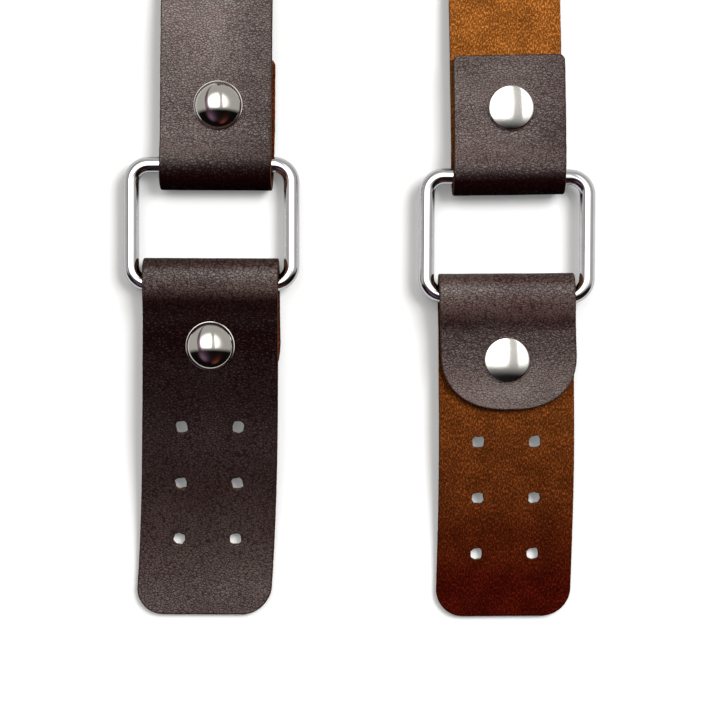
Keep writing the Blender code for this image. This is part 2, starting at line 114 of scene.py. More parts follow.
def lumps(x: Array, y: Array, cell: float, seed: int) -> Array:
    """Smooth value noise: random numbers on a square lattice, eased between their four neighbours.

    Args:
        x, y: Places, in metres.
        cell: Lattice pitch, in metres.
        seed: Seed of the lattice's numbers.

    Returns:
        Values from -1 to 1 at each place.
    """
    table = np.random.default_rng(seed).uniform(-1, 1, (256, 256))
    u, v = x / cell, y / cell
    i, j = np.floor(u).astype(int), np.floor(v).astype(int)
    fu, fv = ease(u - i), ease(v - j)
    low = table[i % 256, j % 256] * (1 - fu) + table[(i + 1) % 256, j % 256] * fu
    high = table[i % 256, (j + 1) % 256] * (1 - fu) + table[(i + 1) % 256, (j + 1) % 256] * fu
    return low * (1 - fv) + high * fv


# ---------------------------------------------------------------- flat blanks


@dataclass
class Sheet:
    """A flat leather blank. A rim is a closed loop of points with the leather on its left."""

    xy: Array
    faces: list[list[int]]
    rims: list[Array]


@dataclass(frozen=True)
class Corner:
    """A blank's rounded end: a superellipse quarter of this reach across and along."""

    across: float
    along: float
    power: float = 2.0
    sweep: float = math.radians(87)  # short of a quarter turn, so that the end row keeps a width

    def rows(self, count: int) -> tuple[Array, Array]:
        """The quarter's points, as the along share sin^(2/n) and the across loss 1 - cos^(2/n).

        Args:
            count: Number of rows.

        Returns:
            Distance on from where the corner starts, and how much narrower each side is there.
        """
        turn = np.linspace(0, self.sweep, count + 1)[1:]
        along = self.along * np.sin(turn) ** (2 / self.power)
        return along, self.across * (1 - np.cos(turn) ** (2 / self.power))


@dataclass(frozen=True)
class PunchedHole:
    """A hole through a blank: its centre, its radius, and how square and ragged it is."""

    across: float
    along: float
    radius: float
    seed: int
    least_square: float = 0.03
    most_square: float = 0.075
    most_tilt: float = 0.3
    least_wave: float = 0.005
    most_wave: float = 0.035
    wave_counts: tuple[int, ...] = (2, 3, 7)

    def reach(self, turn: Array) -> Array:
        """Radius at an angle: r (1 - square cos 4a + three small waves).

        Args:
            turn: Angles round the hole, in radians.

        Returns:
            The hole's radius at each angle, in metres.
        """
        rng = np.random.default_rng(self.seed)
        square = rng.uniform(self.least_square, self.most_square)
        tilt = rng.uniform(-self.most_tilt, self.most_tilt)
        wobble = 1 - square * np.cos(4 * (turn - tilt))
        for waves in self.wave_counts:
            swing = rng.uniform(self.least_wave, self.most_wave)
            wobble += swing * np.cos(waves * turn + rng.uniform(0, 6.28))
        return self.radius * wobble


def strip_sheet(
    width: float,
    length: float,
    first: Corner,
    last: Corner,
    columns: int,
    rows: int,
    holes: list[PunchedHole],
) -> Sheet:
    """A long blank: an even grid, narrowed at each end by its corner, and opened at each hole.

    Round a hole, a square patch of the grid is stretched: its inner square goes onto the hole's
    edge and its outer square stays, with everything between them shared in proportion.

    Args:
        width, length: Size of the blank, in metres.
        first, last: Corners of its two ends.
        columns, rows: Number of cells across, and along between the corners.
        holes: Holes through the blank.

    Returns:
        The blank as a Sheet.
    """
    corner_rows, narrowest = 12, 0.2 * MM
    hole_share, hole_margin = 0.8, 1.0 * MM
    half = width / 2 - SKIN_INSET
    first_y, first_loss = first.rows(corner_rows)
    last_y, last_loss = last.rows(corner_rows)
    low, high = first.along, length - last.along
    middle = np.linspace(low, high, rows + 1)
    along = np.concatenate([(low - first_y)[::-1], middle, high + last_y])
    along = SKIN_INSET + along * (length - 2 * SKIN_INSET) / length
    loss = np.concatenate([first_loss[::-1], np.zeros(rows + 1), last_loss])
    share = np.linspace(-1, 1, columns + 1)
    x = share[None, :] * (half - np.minimum(loss, half - narrowest))[:, None]
    y = np.repeat(along[:, None], columns + 1, axis=1)
    kept = np.ones((len(along) - 1, columns), bool)
    rims = [grid_border(0, len(along) - 1, 0, columns, columns + 1)]
    cell = 2 * half / columns
    for hole in holes:
        inner = max(2, round(hole_share * hole.radius / cell))
        outer = inner + max(3, round(hole_margin / cell))
        i0 = int(np.argmin(abs(share * half - hole.across)))
        j0 = int(np.argmin(abs(along - hole.along)))
        di = np.arange(-outer + 1, outer)[None, :] * np.ones((2 * outer - 1, 1))
        dj = di.T
        ring = np.maximum(abs(di), abs(dj))
        patch = (slice(j0 - outer + 1, j0 + outer), slice(i0 - outer + 1, i0 + outer))
        pitch = along[j0 + 1] - along[j0]
        turn = np.arctan2(dj * pitch, di * cell)
        on_hole = hole.reach(turn)
        stretch = outer / np.maximum(ring, 1)
        t = (ring - inner) / (outer - inner)
        new_x = (1 - t) * (hole.across + on_hole * np.cos(turn)) + t * (x[j0, i0] + di * cell * stretch)
        new_y = (1 - t) * (hole.along + on_hole * np.sin(turn)) + t * (y[j0, i0] + dj * pitch * stretch)
        x[patch] = np.where(ring >= inner, new_x, x[patch])
        y[patch] = np.where(ring >= inner, new_y, y[patch])
        kept[j0 - inner : j0 + inner, i0 - inner : i0 + inner] = False
        rims.append(grid_border(j0 - inner, j0 + inner, i0 - inner, i0 + inner, columns + 1)[::-1])
    j, i = np.nonzero(kept)
    corner = j * (columns + 1) + i
    quads = np.stack([corner, corner + 1, corner + columns + 2, corner + columns + 1], axis=1)
    used, index = np.unique(quads, return_inverse=True)
    renumber = np.zeros(x.size, int)
    renumber[used] = np.arange(len(used))
    points = np.stack([x.ravel(), y.ravel()], axis=1)[used]
    return Sheet(points, index.reshape(-1, 4).tolist(), [renumber[rim] for rim in rims])


def grid_border(j0: int, j1: int, i0: int, i1: int, stride: int) -> Array:
    """Point numbers round a block of a grid, with the block on the left.

    Args:
        j0, j1: First and last row.
        i0, i1: First and last column.
        stride: Points in a row of the grid.

    Returns:
        The closed loop, without its first point repeated.
    """
    bottom = j0 * stride + np.arange(i0, i1)
    right = np.arange(j0, j1) * stride + i1
    top = j1 * stride + np.arange(i1, i0, -1)
    left = np.arange(j1, j0, -1) * stride + i0
    return np.concatenate([bottom, right, top, left])


def rounded_outline(corners: list[tuple[float, float]], radius: float, steps: int) -> Array:
    """A closed outline, each corner cut by a quadratic arc b(1-t)^2 + a t^2 about the corner.

    Args:
        corners: Its corners in order.
        radius: Where the arc starts, before and after each corner.
        steps: Points on each arc, and on each straight stretch.

    Returns:
        Points of the outline, as an (n, 2) array.
    """
    corner = np.array(corners)
    before = np.roll(corner, 1, axis=0) - corner
    after = np.roll(corner, -1, axis=0) - corner
    t = np.linspace(0, 1, steps + 1)[:, None]
    arcs = []
    for at, back, on in zip(corner, before, after):
        a = back / np.linalg.norm(back) * radius
        b = on / np.linalg.norm(on) * radius
        arcs.append(at + a * (1 - t) ** 2 + b * t**2)
    stretches = []
    for arc, following in zip(arcs, arcs[1:] + arcs[:1]):
        straight = arc[-1] + (following[0] - arc[-1]) * t[1:-1]
        stretches += [arc, straight]
    return np.concatenate(stretches)


def star_sheet(outline: Array, rings: int) -> Sheet:
    """A blank whose points run in straight lines from its middle to an outline.

    Args:
        outline: The outline's points, anticlockwise.
        rings: Number of rings of faces.

    Returns:
        The blank as a Sheet, with a fan of triangles at its middle.
    """
    count = len(outline)
    middle = (outline.max(axis=0) + outline.min(axis=0)) / 2
    share = np.linspace(0, 1, rings + 1)[1:, None, None]
    xy = np.concatenate([middle[None], (middle + (outline - middle) * share).reshape(-1, 2)])
    near = np.arange(count)
    on = (near + 1) % count
    fan = np.stack([np.zeros(count, int), 1 + near, 1 + on], axis=1)
    first = 1 + np.arange(rings - 1)[:, None] * count
    quads = np.stack([first + near, first + count + near, first + count + on, first + on], axis=2)
    return Sheet(xy, fan.tolist() + quads.reshape(-1, 4).tolist(), [1 + (rings - 1) * count + near])


# ---------------------------------------------------------------- how leather lies


@dataclass
class Course:
    """A strap's middle line from the side, as points (forward, height), read by its own length."""

    points: Array
    reached: Array = field(init=False)
    way: Array = field(init=False)

    def __post_init__(self) -> None:
        """Works out the distance reached at each point and the direction there."""
        same_place = 1e-7
        keep = np.r_[True, np.linalg.norm(np.diff(self.points, axis=0), axis=1) > same_place]
        self.points = self.points[keep]
        step = np.diff(self.points, axis=0)
        self.reached = np.r_[0, np.cumsum(np.linalg.norm(step, axis=1))]
        ways = np.unwrap(np.arctan2(step[:, 1], step[:, 0]))
        self.way = np.r_[ways[0], (ways[1:] + ways[:-1]) / 2, ways[-1]]

    def at(self, along: Array) -> tuple[Array, Array, Array]:
        """Forward, height and direction at a distance, straight on past either end.

        Args:
            along: Distances along the line, in metres.

        Returns:
            Forward, height and direction at each.
        """
        inside = np.clip(along, 0, self.reached[-1])
        past = along - inside
        forward = np.interp(inside, self.reached, self.points[:, 0])
        height = np.interp(inside, self.reached, self.points[:, 1])
        way = np.interp(inside, self.reached, self.way)
        return forward + past * np.cos(way), height + past * np.sin(way), way

    def distance_to(self, forward: float) -> float:
        """The last distance at which the line passes a forward position.

        Args:
            forward: The forward position, in metres.

        Returns:
            The distance along the line, in metres.
        """
        x = self.points[:, 0]
        crossed = np.nonzero((x[:-1] - forward) * (x[1:] - forward) <= 0)[0][-1]
        share = (forward - x[crossed]) / (x[crossed + 1] - x[crossed])
        before, after = self.reached[crossed], self.reached[crossed + 1]
        return float(before + share * (after - before))

    def bend(self, along: Array) -> Array:
        """How sharply the line turns: the change of direction over the length it takes.

        Args:
            along: Distances along the line, in metres.

        Returns:
            From 0 where it runs straight to 1 in a tight fold.
        """
        middle = (self.reached[1:] + self.reached[:-1]) / 2
        rate = abs(np.diff(self.way)) / np.diff(self.reached)
        return np.clip(np.interp(along, middle, rate) / TIGHT_BEND, 0, 1)


@dataclass
class Plan:
    """A strap's middle line from above: stretches of a length and a turn to the left in degrees."""

    start: tuple[float, float]
    heading: float
    stretches: list[tuple[float, float]]
    spare: float = 60 * MM
    pace: float = 0.5 * MM
    reached: Array = field(init=False)
    line: Array = field(init=False)
    headings: Array = field(init=False)

    def __post_init__(self) -> None:
        """Adds up short steps, each along the heading reached, from before the start to past the end."""
        total = sum(length for length, _ in self.stretches)
        self.reached = np.arange(-self.spare, total + self.spare, self.pace)
        corners = np.cumsum([0, *[length for length, _ in self.stretches]])
        turned = np.radians(np.cumsum([0, *[turn for _, turn in self.stretches]]))
        self.headings = self.heading + np.interp(self.reached, corners, turned)
        step = np.diff(self.reached)
        middle = (self.headings[1:] + self.headings[:-1]) / 2
        x = np.r_[0, np.cumsum(-np.sin(middle) * step)]
        y = np.r_[0, np.cumsum(np.cos(middle) * step)]
        line = np.stack([x, y], axis=1)
        at_start = [np.interp(0, self.reached, line[:, k]) for k in (0, 1)]
        self.line = line - at_start + np.array(self.start)

    def at(self, forward: Array) -> tuple[Array, Array, Array]:
        """Where the line is at a forward distance.

        Args:
            forward: Distances from the start, in metres.

        Returns:
            x, y and the heading at each.
        """
        x = np.interp(forward, self.reached, self.line[:, 0])
        y = np.interp(forward, self.reached, self.line[:, 1])
        return x, y, np.interp(forward, self.reached, self.headings)


def slope(start: tuple[float, float], end: tuple[float, float], count: int = 60) -> Array:
    """An S-shaped line between two (forward, height) points: height follows the smooth step.

    Args:
        start, end: The two points.
        count: Number of points made, the first of them one step on from the start.

    Returns:
        Points (forward, height), as an (n, 2) array.
    """
    share = np.linspace(0, 1, count + 1)[1:]
    forward = start[0] + (end[0] - start[0]) * share
    return np.stack([forward, start[1] + (end[1] - start[1]) * ease(share)], axis=1)


@dataclass(frozen=True)
class FoldedEnd:
    """A strap or tab folded round a bar: sizes in metres, shift and lean of the piece in plan."""

    shift: float
    lean: float
    slack: float
    flap: float
    rivet: float
    loop: float
    drop: float
    closed_before_rivet: float = 5.8 * MM
    turn_steps: int = 72
    drop_steps: int = 90

    def course(self, side: Side, middle: float) -> Array:
        """Flap, S-curve to the turn, half circle round the bar, S-curve back, upper layer, drop.

        Args:
            side: Which side of the leather is up.
            middle: Height of the end's middle plane.

        Returns:
            Points (forward, height), forward from the bar.
        """
        up = side.value
        radius = self.loop + LEATHER / 2
        closed = self.rivet - self.closed_before_rivet
        flap_height, layer_height = middle - up * LAYER_MID, middle + up * LAYER_MID
        first = np.array([(self.flap, flap_height), (closed, flap_height)])
        into = slope((closed, flap_height), (-self.slack, middle - up * radius))
        turn = np.linspace(0, np.pi, self.turn_steps + 1)[1:]
        arc = np.stack([-self.slack - radius * np.sin(turn), middle - up * radius * np.cos(turn)], axis=1)
        out = slope((-self.slack, middle + up * radius), (closed, layer_height))
        level = (self.flap + LEATHER, layer_height)
        down = slope(level, (level[0] + self.drop, TABLE_MID), self.drop_steps)
        return np.concatenate([first, into, arc, out, [level], down])


@dataclass
class Lay:
    """Carries a flat blank to where the leather lies."""

    side: Side
    course: Course
    plan: Plan
    length: float
    drift: float
    held: float
    width: float
    twist: tuple[float, float] | None = None
    square_to: float | None = None

    def place(self, across: Array, along: Array, through: Array) -> Array:
        """Point = plan(forward - sin(way) through) + right x across, height + cos(way) through.

        Right is square to the plan's heading, or to one heading all along if square_to gives it.

        Args:
            across, along, through: Places in the blank, in metres.

        Returns:
            World positions, as an (n, 3) array.
        """
        forward, height, way = self.course.at(along)
        across, through = self.side.value * across, self.side.value * through
        loop_end = self.course.distance_to(0)
        across = across + self.drift * (1 - ease((along - self.held) / (loop_end - self.held)))
        if self.twist:
            roll = np.pi * ease((along - self.twist[0]) / self.twist[1])
            turned = across * np.cos(roll) - through * np.sin(roll)
            through = across * np.sin(roll) + through * np.cos(roll)
            across = turned
            height = height + self.width / 2 * np.sin(roll)
        x, y, heading = self.plan.at(forward - np.sin(way) * through)
        if self.square_to is not None:
            heading = np.full_like(x, self.square_to)
        x, y = x + np.cos(heading) * across, y + np.sin(heading) * across
        return np.stack([x, y, height + np.cos(way) * through], axis=1)

    def bend(self, along: Array) -> Array:
        """How sharply the leather bends at a distance along, from 0 flat to 1 in a tight fold."""
        return self.course.bend(along)


@dataclass
class ShoulderLay(Lay):
    """A front strap's lay: as Lay up to the shoulder fold, then over a slanting crease."""

    target: tuple[float, float] = (0, 0)
    upper_mid: float = 3.1 * MM
    fold_radius: float = 8.5 * MM
    fold_turn: float = math.radians(192)
    settle_run: float = 115 * MM
    settle_pull: float = 2.4
    fold_steps: int = 120
    flat: float = 20 * MM
    handover: float = 10 * MM
    straight_on: float = 0.2
    most_slant: float = math.radians(25)

    def __post_init__(self) -> None:
        """Finds the crease's slant by halving: the strap's middle line has to end on the target."""
        run = sum(length for length, _ in self.plan.stretches)
        self.fold_start = self.course.distance_to(run)
        self.fold = self.fold_course()
        x, y, heading = (float(v) for v in self.plan.at(np.array(run)))
        self.foot = np.array([x, y])
        self.way = np.array([-math.sin(heading), math.cos(heading)])
        self.right = np.array([self.way[1], -self.way[0]])
        low, high = -self.most_slant, self.most_slant
        for _ in range(50):
            angle = (low + high) / 2
            self.crease = np.array([math.cos(angle), math.sin(angle)])
            self.out = np.array([-self.crease[1], self.crease[0]])
            self.lean_cos, self.lean_sin = self.way @ self.out, self.way @ self.crease
            offset = np.array(self.target) - self.foot
            distance = self.fold.distance_to(float(offset @ self.out)) - self.flat
            miss = offset @ self.crease - distance / self.lean_cos * self.lean_sin
            low, high = (low, angle) if miss < 0 else (angle, high)
        self.length = self.fold_start + distance / self.lean_cos

    def fold_course(self) -> Course:
        """The fold from the side: flat, an arc past half a turn, a cubic Bezier down, straight on.

        Returns:
            The fold's own line, which ends at the upper level.
        """
        turn = np.linspace(0, self.fold_turn, self.fold_steps)
        arc = self.fold_radius * np.stack([np.sin(turn), 1 - np.cos(turn)], axis=1) + [0, TABLE_MID]
        way = np.array([math.cos(self.fold_turn), math.sin(self.fold_turn)])
        end = np.array([arc[-1, 0] - self.settle_run, self.upper_mid])
        pull = self.settle_run / self.settle_pull
        t = np.linspace(0, 1, self.fold_steps)[1:, None]
        start, first, second = arc[-1], arc[-1] + way * pull, end + [pull, 0]
        back = 1 - t
        down = start * back**3 + 3 * first * back**2 * t + 3 * second * back * t**2 + end * t**3
        return Course(np.concatenate([[(-self.flat, TABLE_MID)], arc, down, [end - [self.straight_on, 0]]]))

    def place(self, across: Array, along: Array, through: Array) -> Array:
        """As Lay.place, and past the fold: foot + out x forward + crease x (run along the crease).

        Args:
            across, along, through: Places in the blank, in metres.

        Returns:
            World positions, as an (n, 3) array.
        """
        flat = super().place(across, along, through)
        past = along - self.fold_start
        across, through = -across, -through
        square_on = past * self.lean_cos + across * (self.right @ self.out)
        forward, height, way = self.fold.at(self.flat + square_on)
        sideways = past * self.lean_sin + across * (self.right @ self.crease)
        reach = (forward - np.sin(way) * through)[:, None]
        xy = self.foot + self.out * reach + self.crease * sideways[:, None]
        folded = np.concatenate([xy, (height + np.cos(way) * through)[:, None]], axis=1)
        return np.where((past * self.lean_cos < -self.handover)[:, None], flat, folded)

    def bend(self, along: Array) -> Array:
        """How sharply the leather bends, over both the ring's fold and the shoulder fold.

        Args:
            along: Distances along the blank, in metres.

        Returns:
            From 0 flat to 1 in a tight fold.
        """
        past = self.flat + (along - self.fold_start) * self.lean_cos
        return np.maximum(super().bend(along), np.where(past > 0, self.fold.bend(past), 0))


# ---------------------------------------------------------------- meshes


def make_object(name: str, verts: Array, faces: list[list[int]], looks: list[Material]) -> Object:
    """Puts points and faces in a smooth-shaded mesh object at the origin.

    Args:
        name: The object's name.
        verts: World positions, as an (n, 3) array.
        faces: Point numbers of each face.
        looks: Materials, one for each slot.

    Returns:
        The new object, linked to the scene.
    """
    mesh = bpy.data.meshes.new(name)
    mesh.from_pydata(verts.tolist(), [], faces)
    mesh.shade_smooth()
    for look in looks:
        mesh.materials.append(look)
    mesh.update()
    piece = bpy.data.objects.new(name, mesh)
    bpy.context.scene.collection.objects.link(piece)
    return piece


def set_uv(mesh: bpy.types.Mesh, uv: Array) -> None:
    """Gives every corner of every face its point's own UV place.

    Args:
        mesh: The mesh to write in.
        uv: A place for each point, as an (n, 2) array.
    """
    corner = np.zeros(len(mesh.loops), int)
    mesh.loops.foreach_get("vertex_index", corner)
    layer = mesh.uv_layers.new(name="blank")
    layer.data.foreach_set("uv", uv[corner].astype(np.float32).ravel())


def set_number(mesh: bpy.types.Mesh, name: str, values: Array) -> None:
    """Stores one number at each point, for the materials to read.

    Args:
        mesh: The mesh to write in.
        name: The attribute's name.
        values: A number for each point.
    """
    made = mesh.attributes.new(name, "FLOAT", "POINT")
    made.data.foreach_set("value", values.astype(np.float32))


@dataclass
class Hide:
    """A leather piece: a blank with its thickness, its cut edge and its slight unevenness."""

    name: str
    sheet: Sheet
    place: Callable[[Array, Array, Array], Array]
    seed: int
    rivets: list[tuple[float, float]] = field(default_factory=list)
    bend: Callable[[Array], Array] | None = None
    # Painted shade on the flesh side inside the folds and under the flaps, and darker towards a tab's tip,
    # by distance along the blank.
    shade: Callable[[Array], Array] | None = None
    # Painted sheen and painted shade on the grain, by place in the blank.
    painted_light: Callable[[Array, Array], Array] | None = None

    # The cut edge, from the grain to the flesh: how far out, how deep (1 to -1), and its slot
    EDGE = (
        (0.13 * MM, 0.95, Slot.GRAIN),
        (0.24 * MM, 0.83, Slot.EDGE),
        (0.30 * MM, 0.62, Slot.EDGE),
        (0.27 * MM, 0.15, Slot.EDGE),
        (0.30 * MM, -0.45, Slot.EDGE),
        (0.26 * MM, -0.84, Slot.EDGE),
        (0.12 * MM, -0.97, Slot.FLESH),
    )
    FRAY = 0.018 * MM  # how unevenly the cut edge stands out
    SMALL_RIM = 100  # a rim of fewer points is a punched hole's, and stands out half as far
    LUMPS = ((0.035 * MM, 6 * MM), (0.015 * MM, 1.6 * MM))  # height and size of the unevenness
    DIP, DIP_RADIUS, DIP_WIDTH = 0.13 * MM, 5.3 * MM, 1.5 * MM  # the dent round a rivet
    # The painted sheen and shade of a piece without stops of its own.
    PLAIN_PAINTED_LIGHT = 0.7

    def relief(self, xy: Array) -> Array:
        """Height of the grain over its plane: broad and small lumps, less a dip round each rivet.

        Args:
            xy: Places in the blank.

        Returns:
            Offsets along the thickness, in metres.
        """
        x, y = xy[:, 0], xy[:, 1]
        height = np.zeros(len(xy))
        for order, (rise, cell) in enumerate(self.LUMPS):
            height += rise * lumps(x, y, cell, self.seed + order)
        for rivet_x, rivet_y in self.rivets:
            away = np.hypot(x - rivet_x, y - rivet_y)
            height -= self.DIP * np.exp(-(((away - self.DIP_RADIUS) / self.DIP_WIDTH) ** 2))
        return height

    def rim_normals(self, rim: Array) -> Array:
        """Unit normals to the right of a rim's run, from each point's two neighbours.

        Args:
            rim: Point numbers round the rim.

        Returns:
            A normal for each, as an (n, 2) array.
        """
        points = self.sheet.xy[rim]
        run = np.roll(points, -1, axis=0) - np.roll(points, 1, axis=0)
        normal = np.stack([run[:, 1], -run[:, 0]], axis=1)
        return normal / np.linalg.norm(normal, axis=1)[:, None]

    def build(self, looks: list[Material]) -> Object:
        """Grain grid, flesh grid, and rows of quads round each rim to join them.

        Args:
            looks: The grain, flesh and edge materials.

        Returns:
            The piece, with its UV map and its numbers for the materials.
        """
        sheet = self.sheet
        count = len(sheet.xy)
        relief = self.relief(sheet.xy)
        flat = [sheet.xy, sheet.xy]
        through = [LEATHER / 2 + relief, np.full(count, -LEATHER / 2)]
        depth = [np.ones(count), -np.ones(count)]
        faces = list(sheet.faces) + [[n + count for n in face[::-1]] for face in sheet.faces]
        slots = [Slot.GRAIN.value] * len(sheet.faces) + [Slot.FLESH.value] * len(sheet.faces)
        total = 2 * count
        rng = np.random.default_rng(self.seed)
        for rim in sheet.rims:
            normal = self.rim_normals(rim)
            reach = 0.5 if len(rim) < self.SMALL_RIM else 1.0
            above = rim
            for out, deep, slot in self.EDGE:
                rough = rng.normal(0, self.FRAY, len(rim)) if slot is Slot.EDGE else np.zeros(len(rim))
                flat.append(sheet.xy[rim] + normal * (reach * out + rough)[:, None])
                through.append(LEATHER / 2 * deep + relief[rim] * (deep + 1) / 2)
                depth.append(np.full(len(rim), deep))
                here = total + np.arange(len(rim))
                faces += np.stack([here, np.roll(here, -1), np.roll(above, -1), above], axis=1).tolist()
                slots += [slot.value] * len(rim)
                above, total = here, total + len(rim)
            last = rim + count
            faces += np.stack([last, np.roll(last, -1), np.roll(above, -1), above], axis=1).tolist()
            slots += [Slot.FLESH.value] * len(rim)
        across, along = np.concatenate(flat).T
        piece = make_object(self.name, self.place(across, along, np.concatenate(through)), faces, looks)
        piece.data.polygons.foreach_set("material_index", np.array(slots, dtype=np.int32))
        set_uv(piece.data, np.stack([across, along], axis=1) / UV_UNIT)
        set_number(piece.data, "depth", np.concatenate(depth))
        set_number(piece.data, "bend", self.bend(along) if self.bend else np.zeros(total))
        # The flesh side's number: painted shade inside the folds and under the flaps, and darker towards a
        # tab's tip.
        set_number(piece.data, "shade", self.shade(along) if self.shade else np.zeros(total))
        # The number for painted sheen and painted shade on the grain.
        painted_light = self.painted_light(across, along) if self.painted_light else np.full(total, self.PLAIN_PAINTED_LIGHT)
        set_number(piece.data, "painted_light", painted_light)
        return piece


def lathe(name: str, profile: Array, centre: Vector, side: Side, look: Material) -> Object:
    """Turns a profile that runs from its top pole down its outside to its bottom pole.

    Point = (r cos a, r sin a, z) for each profile point (r, z) and angle a, with a fan at each pole.

    Args:
        name: The object's name.
        profile: Points (radius, height), the first and last on the axis.
        centre: Where its origin goes.
        side: FLESH_UP turns it upside down about the Y axis.
        look: Its material.

    Returns:
        The turned piece.
    """
    sides = 72
    turn = np.linspace(0, 2 * np.pi, sides, endpoint=False)
    inner = profile[1:-1]
    x = inner[:, 0, None] * np.cos(turn)
    y = inner[:, 0, None] * np.sin(turn)
    z = np.repeat(inner[:, 1, None], sides, axis=1)
    poles = np.array([(0, 0, profile[0, 1]), (0, 0, profile[-1, 1])])
    verts = np.concatenate([np.stack([x, y, z], axis=2).reshape(-1, 3), poles])
    near, on = np.arange(sides), (np.arange(sides) + 1) % sides
    first = np.arange(len(inner) - 1)[:, None] * sides
    quads = np.stack([first + near, first + sides + near, first + sides + on, first + on], axis=2)
    top, bottom, last = len(verts) - 2, len(verts) - 1, (len(inner) - 1) * sides
    fans = np.stack([np.full(sides, top), near, on], axis=1).tolist()
    fans += np.stack([np.full(sides, bottom), last + on, last + near], axis=1).tolist()
    verts *= [side.value, 1, side.value]
    return make_object(name, verts + np.array(centre), quads.reshape(-1, 4).tolist() + fans, [look])


# ---------------------------------------------------------------- shader tools


class Shader:
    """Places and links nodes in a material, a group or a world."""

    def __init__(self, tree: Nodes) -> None:
        """Starts on a tree that is emptied first."""
        self.tree = tree
        tree.nodes.clear()

    def node(self, kind: str, **values: object) -> bpy.types.Node:
        """Adds a node.

        Args:
            kind: The node's type name without its ShaderNode prefix.
            values: Properties, or inputs given by name with spaces as underscores.

        Returns:
            The new node.
        """
        made = self.tree.nodes.new(kind if kind.startswith("Node") else "ShaderNode" + kind)
        for key, value in values.items():
            label = key.replace("_", " ")
            if label in made.inputs:
                self.feed(made.inputs[label], value)
            else:
                setattr(made, key, value)
        return made

    def feed(self, socket: Socket, value: object) -> None:
        """Links an output to an input, or sets the input's number or colour.

        Args:
            socket: The input.
            value: An output, a number, a vector or a colour.
        """
        if isinstance(value, Socket):
            self.tree.links.new(value, socket)
        elif isinstance(value, tuple) and socket.type == "RGBA":
            socket.default_value = (*value[:3], 1)
        else:
            socket.default_value = value

    def math(self, operation: str, a: object, b: object = 0.0, c: object = 0.0) -> Socket:
        """A Math node's result.

        Args:
            operation: The node's operation.
            a, b, c: Its numbers, as outputs or values.

        Returns:
            The result's output.
        """
        made = self.node("Math", operation=operation)
        for socket, value in zip(made.inputs, (a, b, c)):
            self.feed(socket, value)
        return made.outputs[0]

    def vector(self, operation: str, a: object, b: object = (0, 0, 0), c: object = (0, 0, 0)) -> Socket:
        """A Vector Math node's vector result.

        Args:
            operation: The node's operation.
            a, b, c: Its vectors, as outputs or values.

        Returns:
            The result's output.
        """
        made = self.node("VectorMath", operation=operation)
        for socket, value in zip(made.inputs, (a, b, c)):
            self.feed(socket, value)
        return made.outputs[0]

    def scaled(self, vector: object, share: object) -> Socket:
        """A vector times a number."""
        made = self.node("VectorMath", operation="SCALE", Vector=vector, Scale=share)
        return made.outputs[0]

    def step(
        self, value: object, low: object, high: object, to_low: float = 0.0, to_high: float = 1.0
    ) -> Socket:
        """A smooth step of a value from one range to another.

        Args:
            value: What is read.
            low, high: Where the step starts and ends.
            to_low, to_high: The step's value before and after.

        Returns:
            The result's output.
        """
        made = self.node("MapRange", interpolation_type="SMOOTHSTEP")
        for socket, number in zip(made.inputs, (value, low, high, to_low, to_high)):
            self.feed(socket, number)
        return made.outputs[0]

    def mix(self, factor: object, a: object, b: object, blend: str = "MIX") -> Socket:
        """A colour mixed from two others.

        Args:
            factor: How much of the second colour.
            a, b: The two colours.
            blend: How the second is laid on the first.

        Returns:
            The result's output.
        """
        made = self.node("Mix", data_type="RGBA", blend_type=blend)
        self.feed(made.inputs[0], factor)
        self.feed(made.inputs[6], a)
        self.feed(made.inputs[7], b)
        return made.outputs[2]

    def noise(self, vector: object, scale: object, detail: float = 2.0, rough: float = 0.5) -> Socket:
        """A Noise Texture's value."""
        return self.node("TexNoise", Vector=vector, Scale=scale, Detail=detail, Roughness=rough).outputs[0]

    def edges(self, vector: object, scale: object) -> Socket:
        """Distance from the edges of a Voronoi Texture's cells."""
        return self.node("TexVoronoi", feature="DISTANCE_TO_EDGE", Vector=vector, Scale=scale).outputs[0]

    def lift(self, strength: float, distance: float, height: object) -> Socket:
        """A Bump node's normal."""
        return self.node("Bump", Strength=strength, Distance=distance, Height=height).outputs[0]

    def read(self, name: str) -> Socket:
        """The number that the mesh stores under a name."""
        return self.node("Attribute", attribute_name=name).outputs["Fac"]

    def group(self, name: str, **values: object) -> bpy.types.Node:
        """Places a node group with its own values.

        Args:
            name: The group's name.
            values: Its inputs, by name with spaces as underscores.

        Returns:
            The group's node.
        """
        made = self.node("Group", node_tree=bpy.data.node_groups[name])
        for key, value in values.items():
            self.feed(made.inputs[key.replace("_", " ")], value)
        return made


def new_group(name: str, inputs: dict[str, float | None], outputs: list[str]) -> tuple[Shader, dict]:
    """Starts a node group with named inputs and outputs.

    Args:
        name: The group's name.
        inputs: Each input's default number, or None for a vector.
        outputs: Names of its number outputs.

    Returns:
        Its Shader, and its inputs and output node by name.
    """
    tree = bpy.data.node_groups.new(name, "ShaderNodeTree")
    shader = Shader(tree)
    for label, default in inputs.items():
        kind = "NodeSocketVector" if default is None else "NodeSocketFloat"
        socket = tree.interface.new_socket(label, in_out="INPUT", socket_type=kind)
        if default is not None:
            socket.default_value = default
    for label in outputs:
        tree.interface.new_socket(label, in_out="OUTPUT", socket_type="NodeSocketFloat")
    entry, leave = shader.node("NodeGroupInput"), shader.node("NodeGroupOutput")
    return shader, {"in": entry.outputs, "out": leave.inputs}


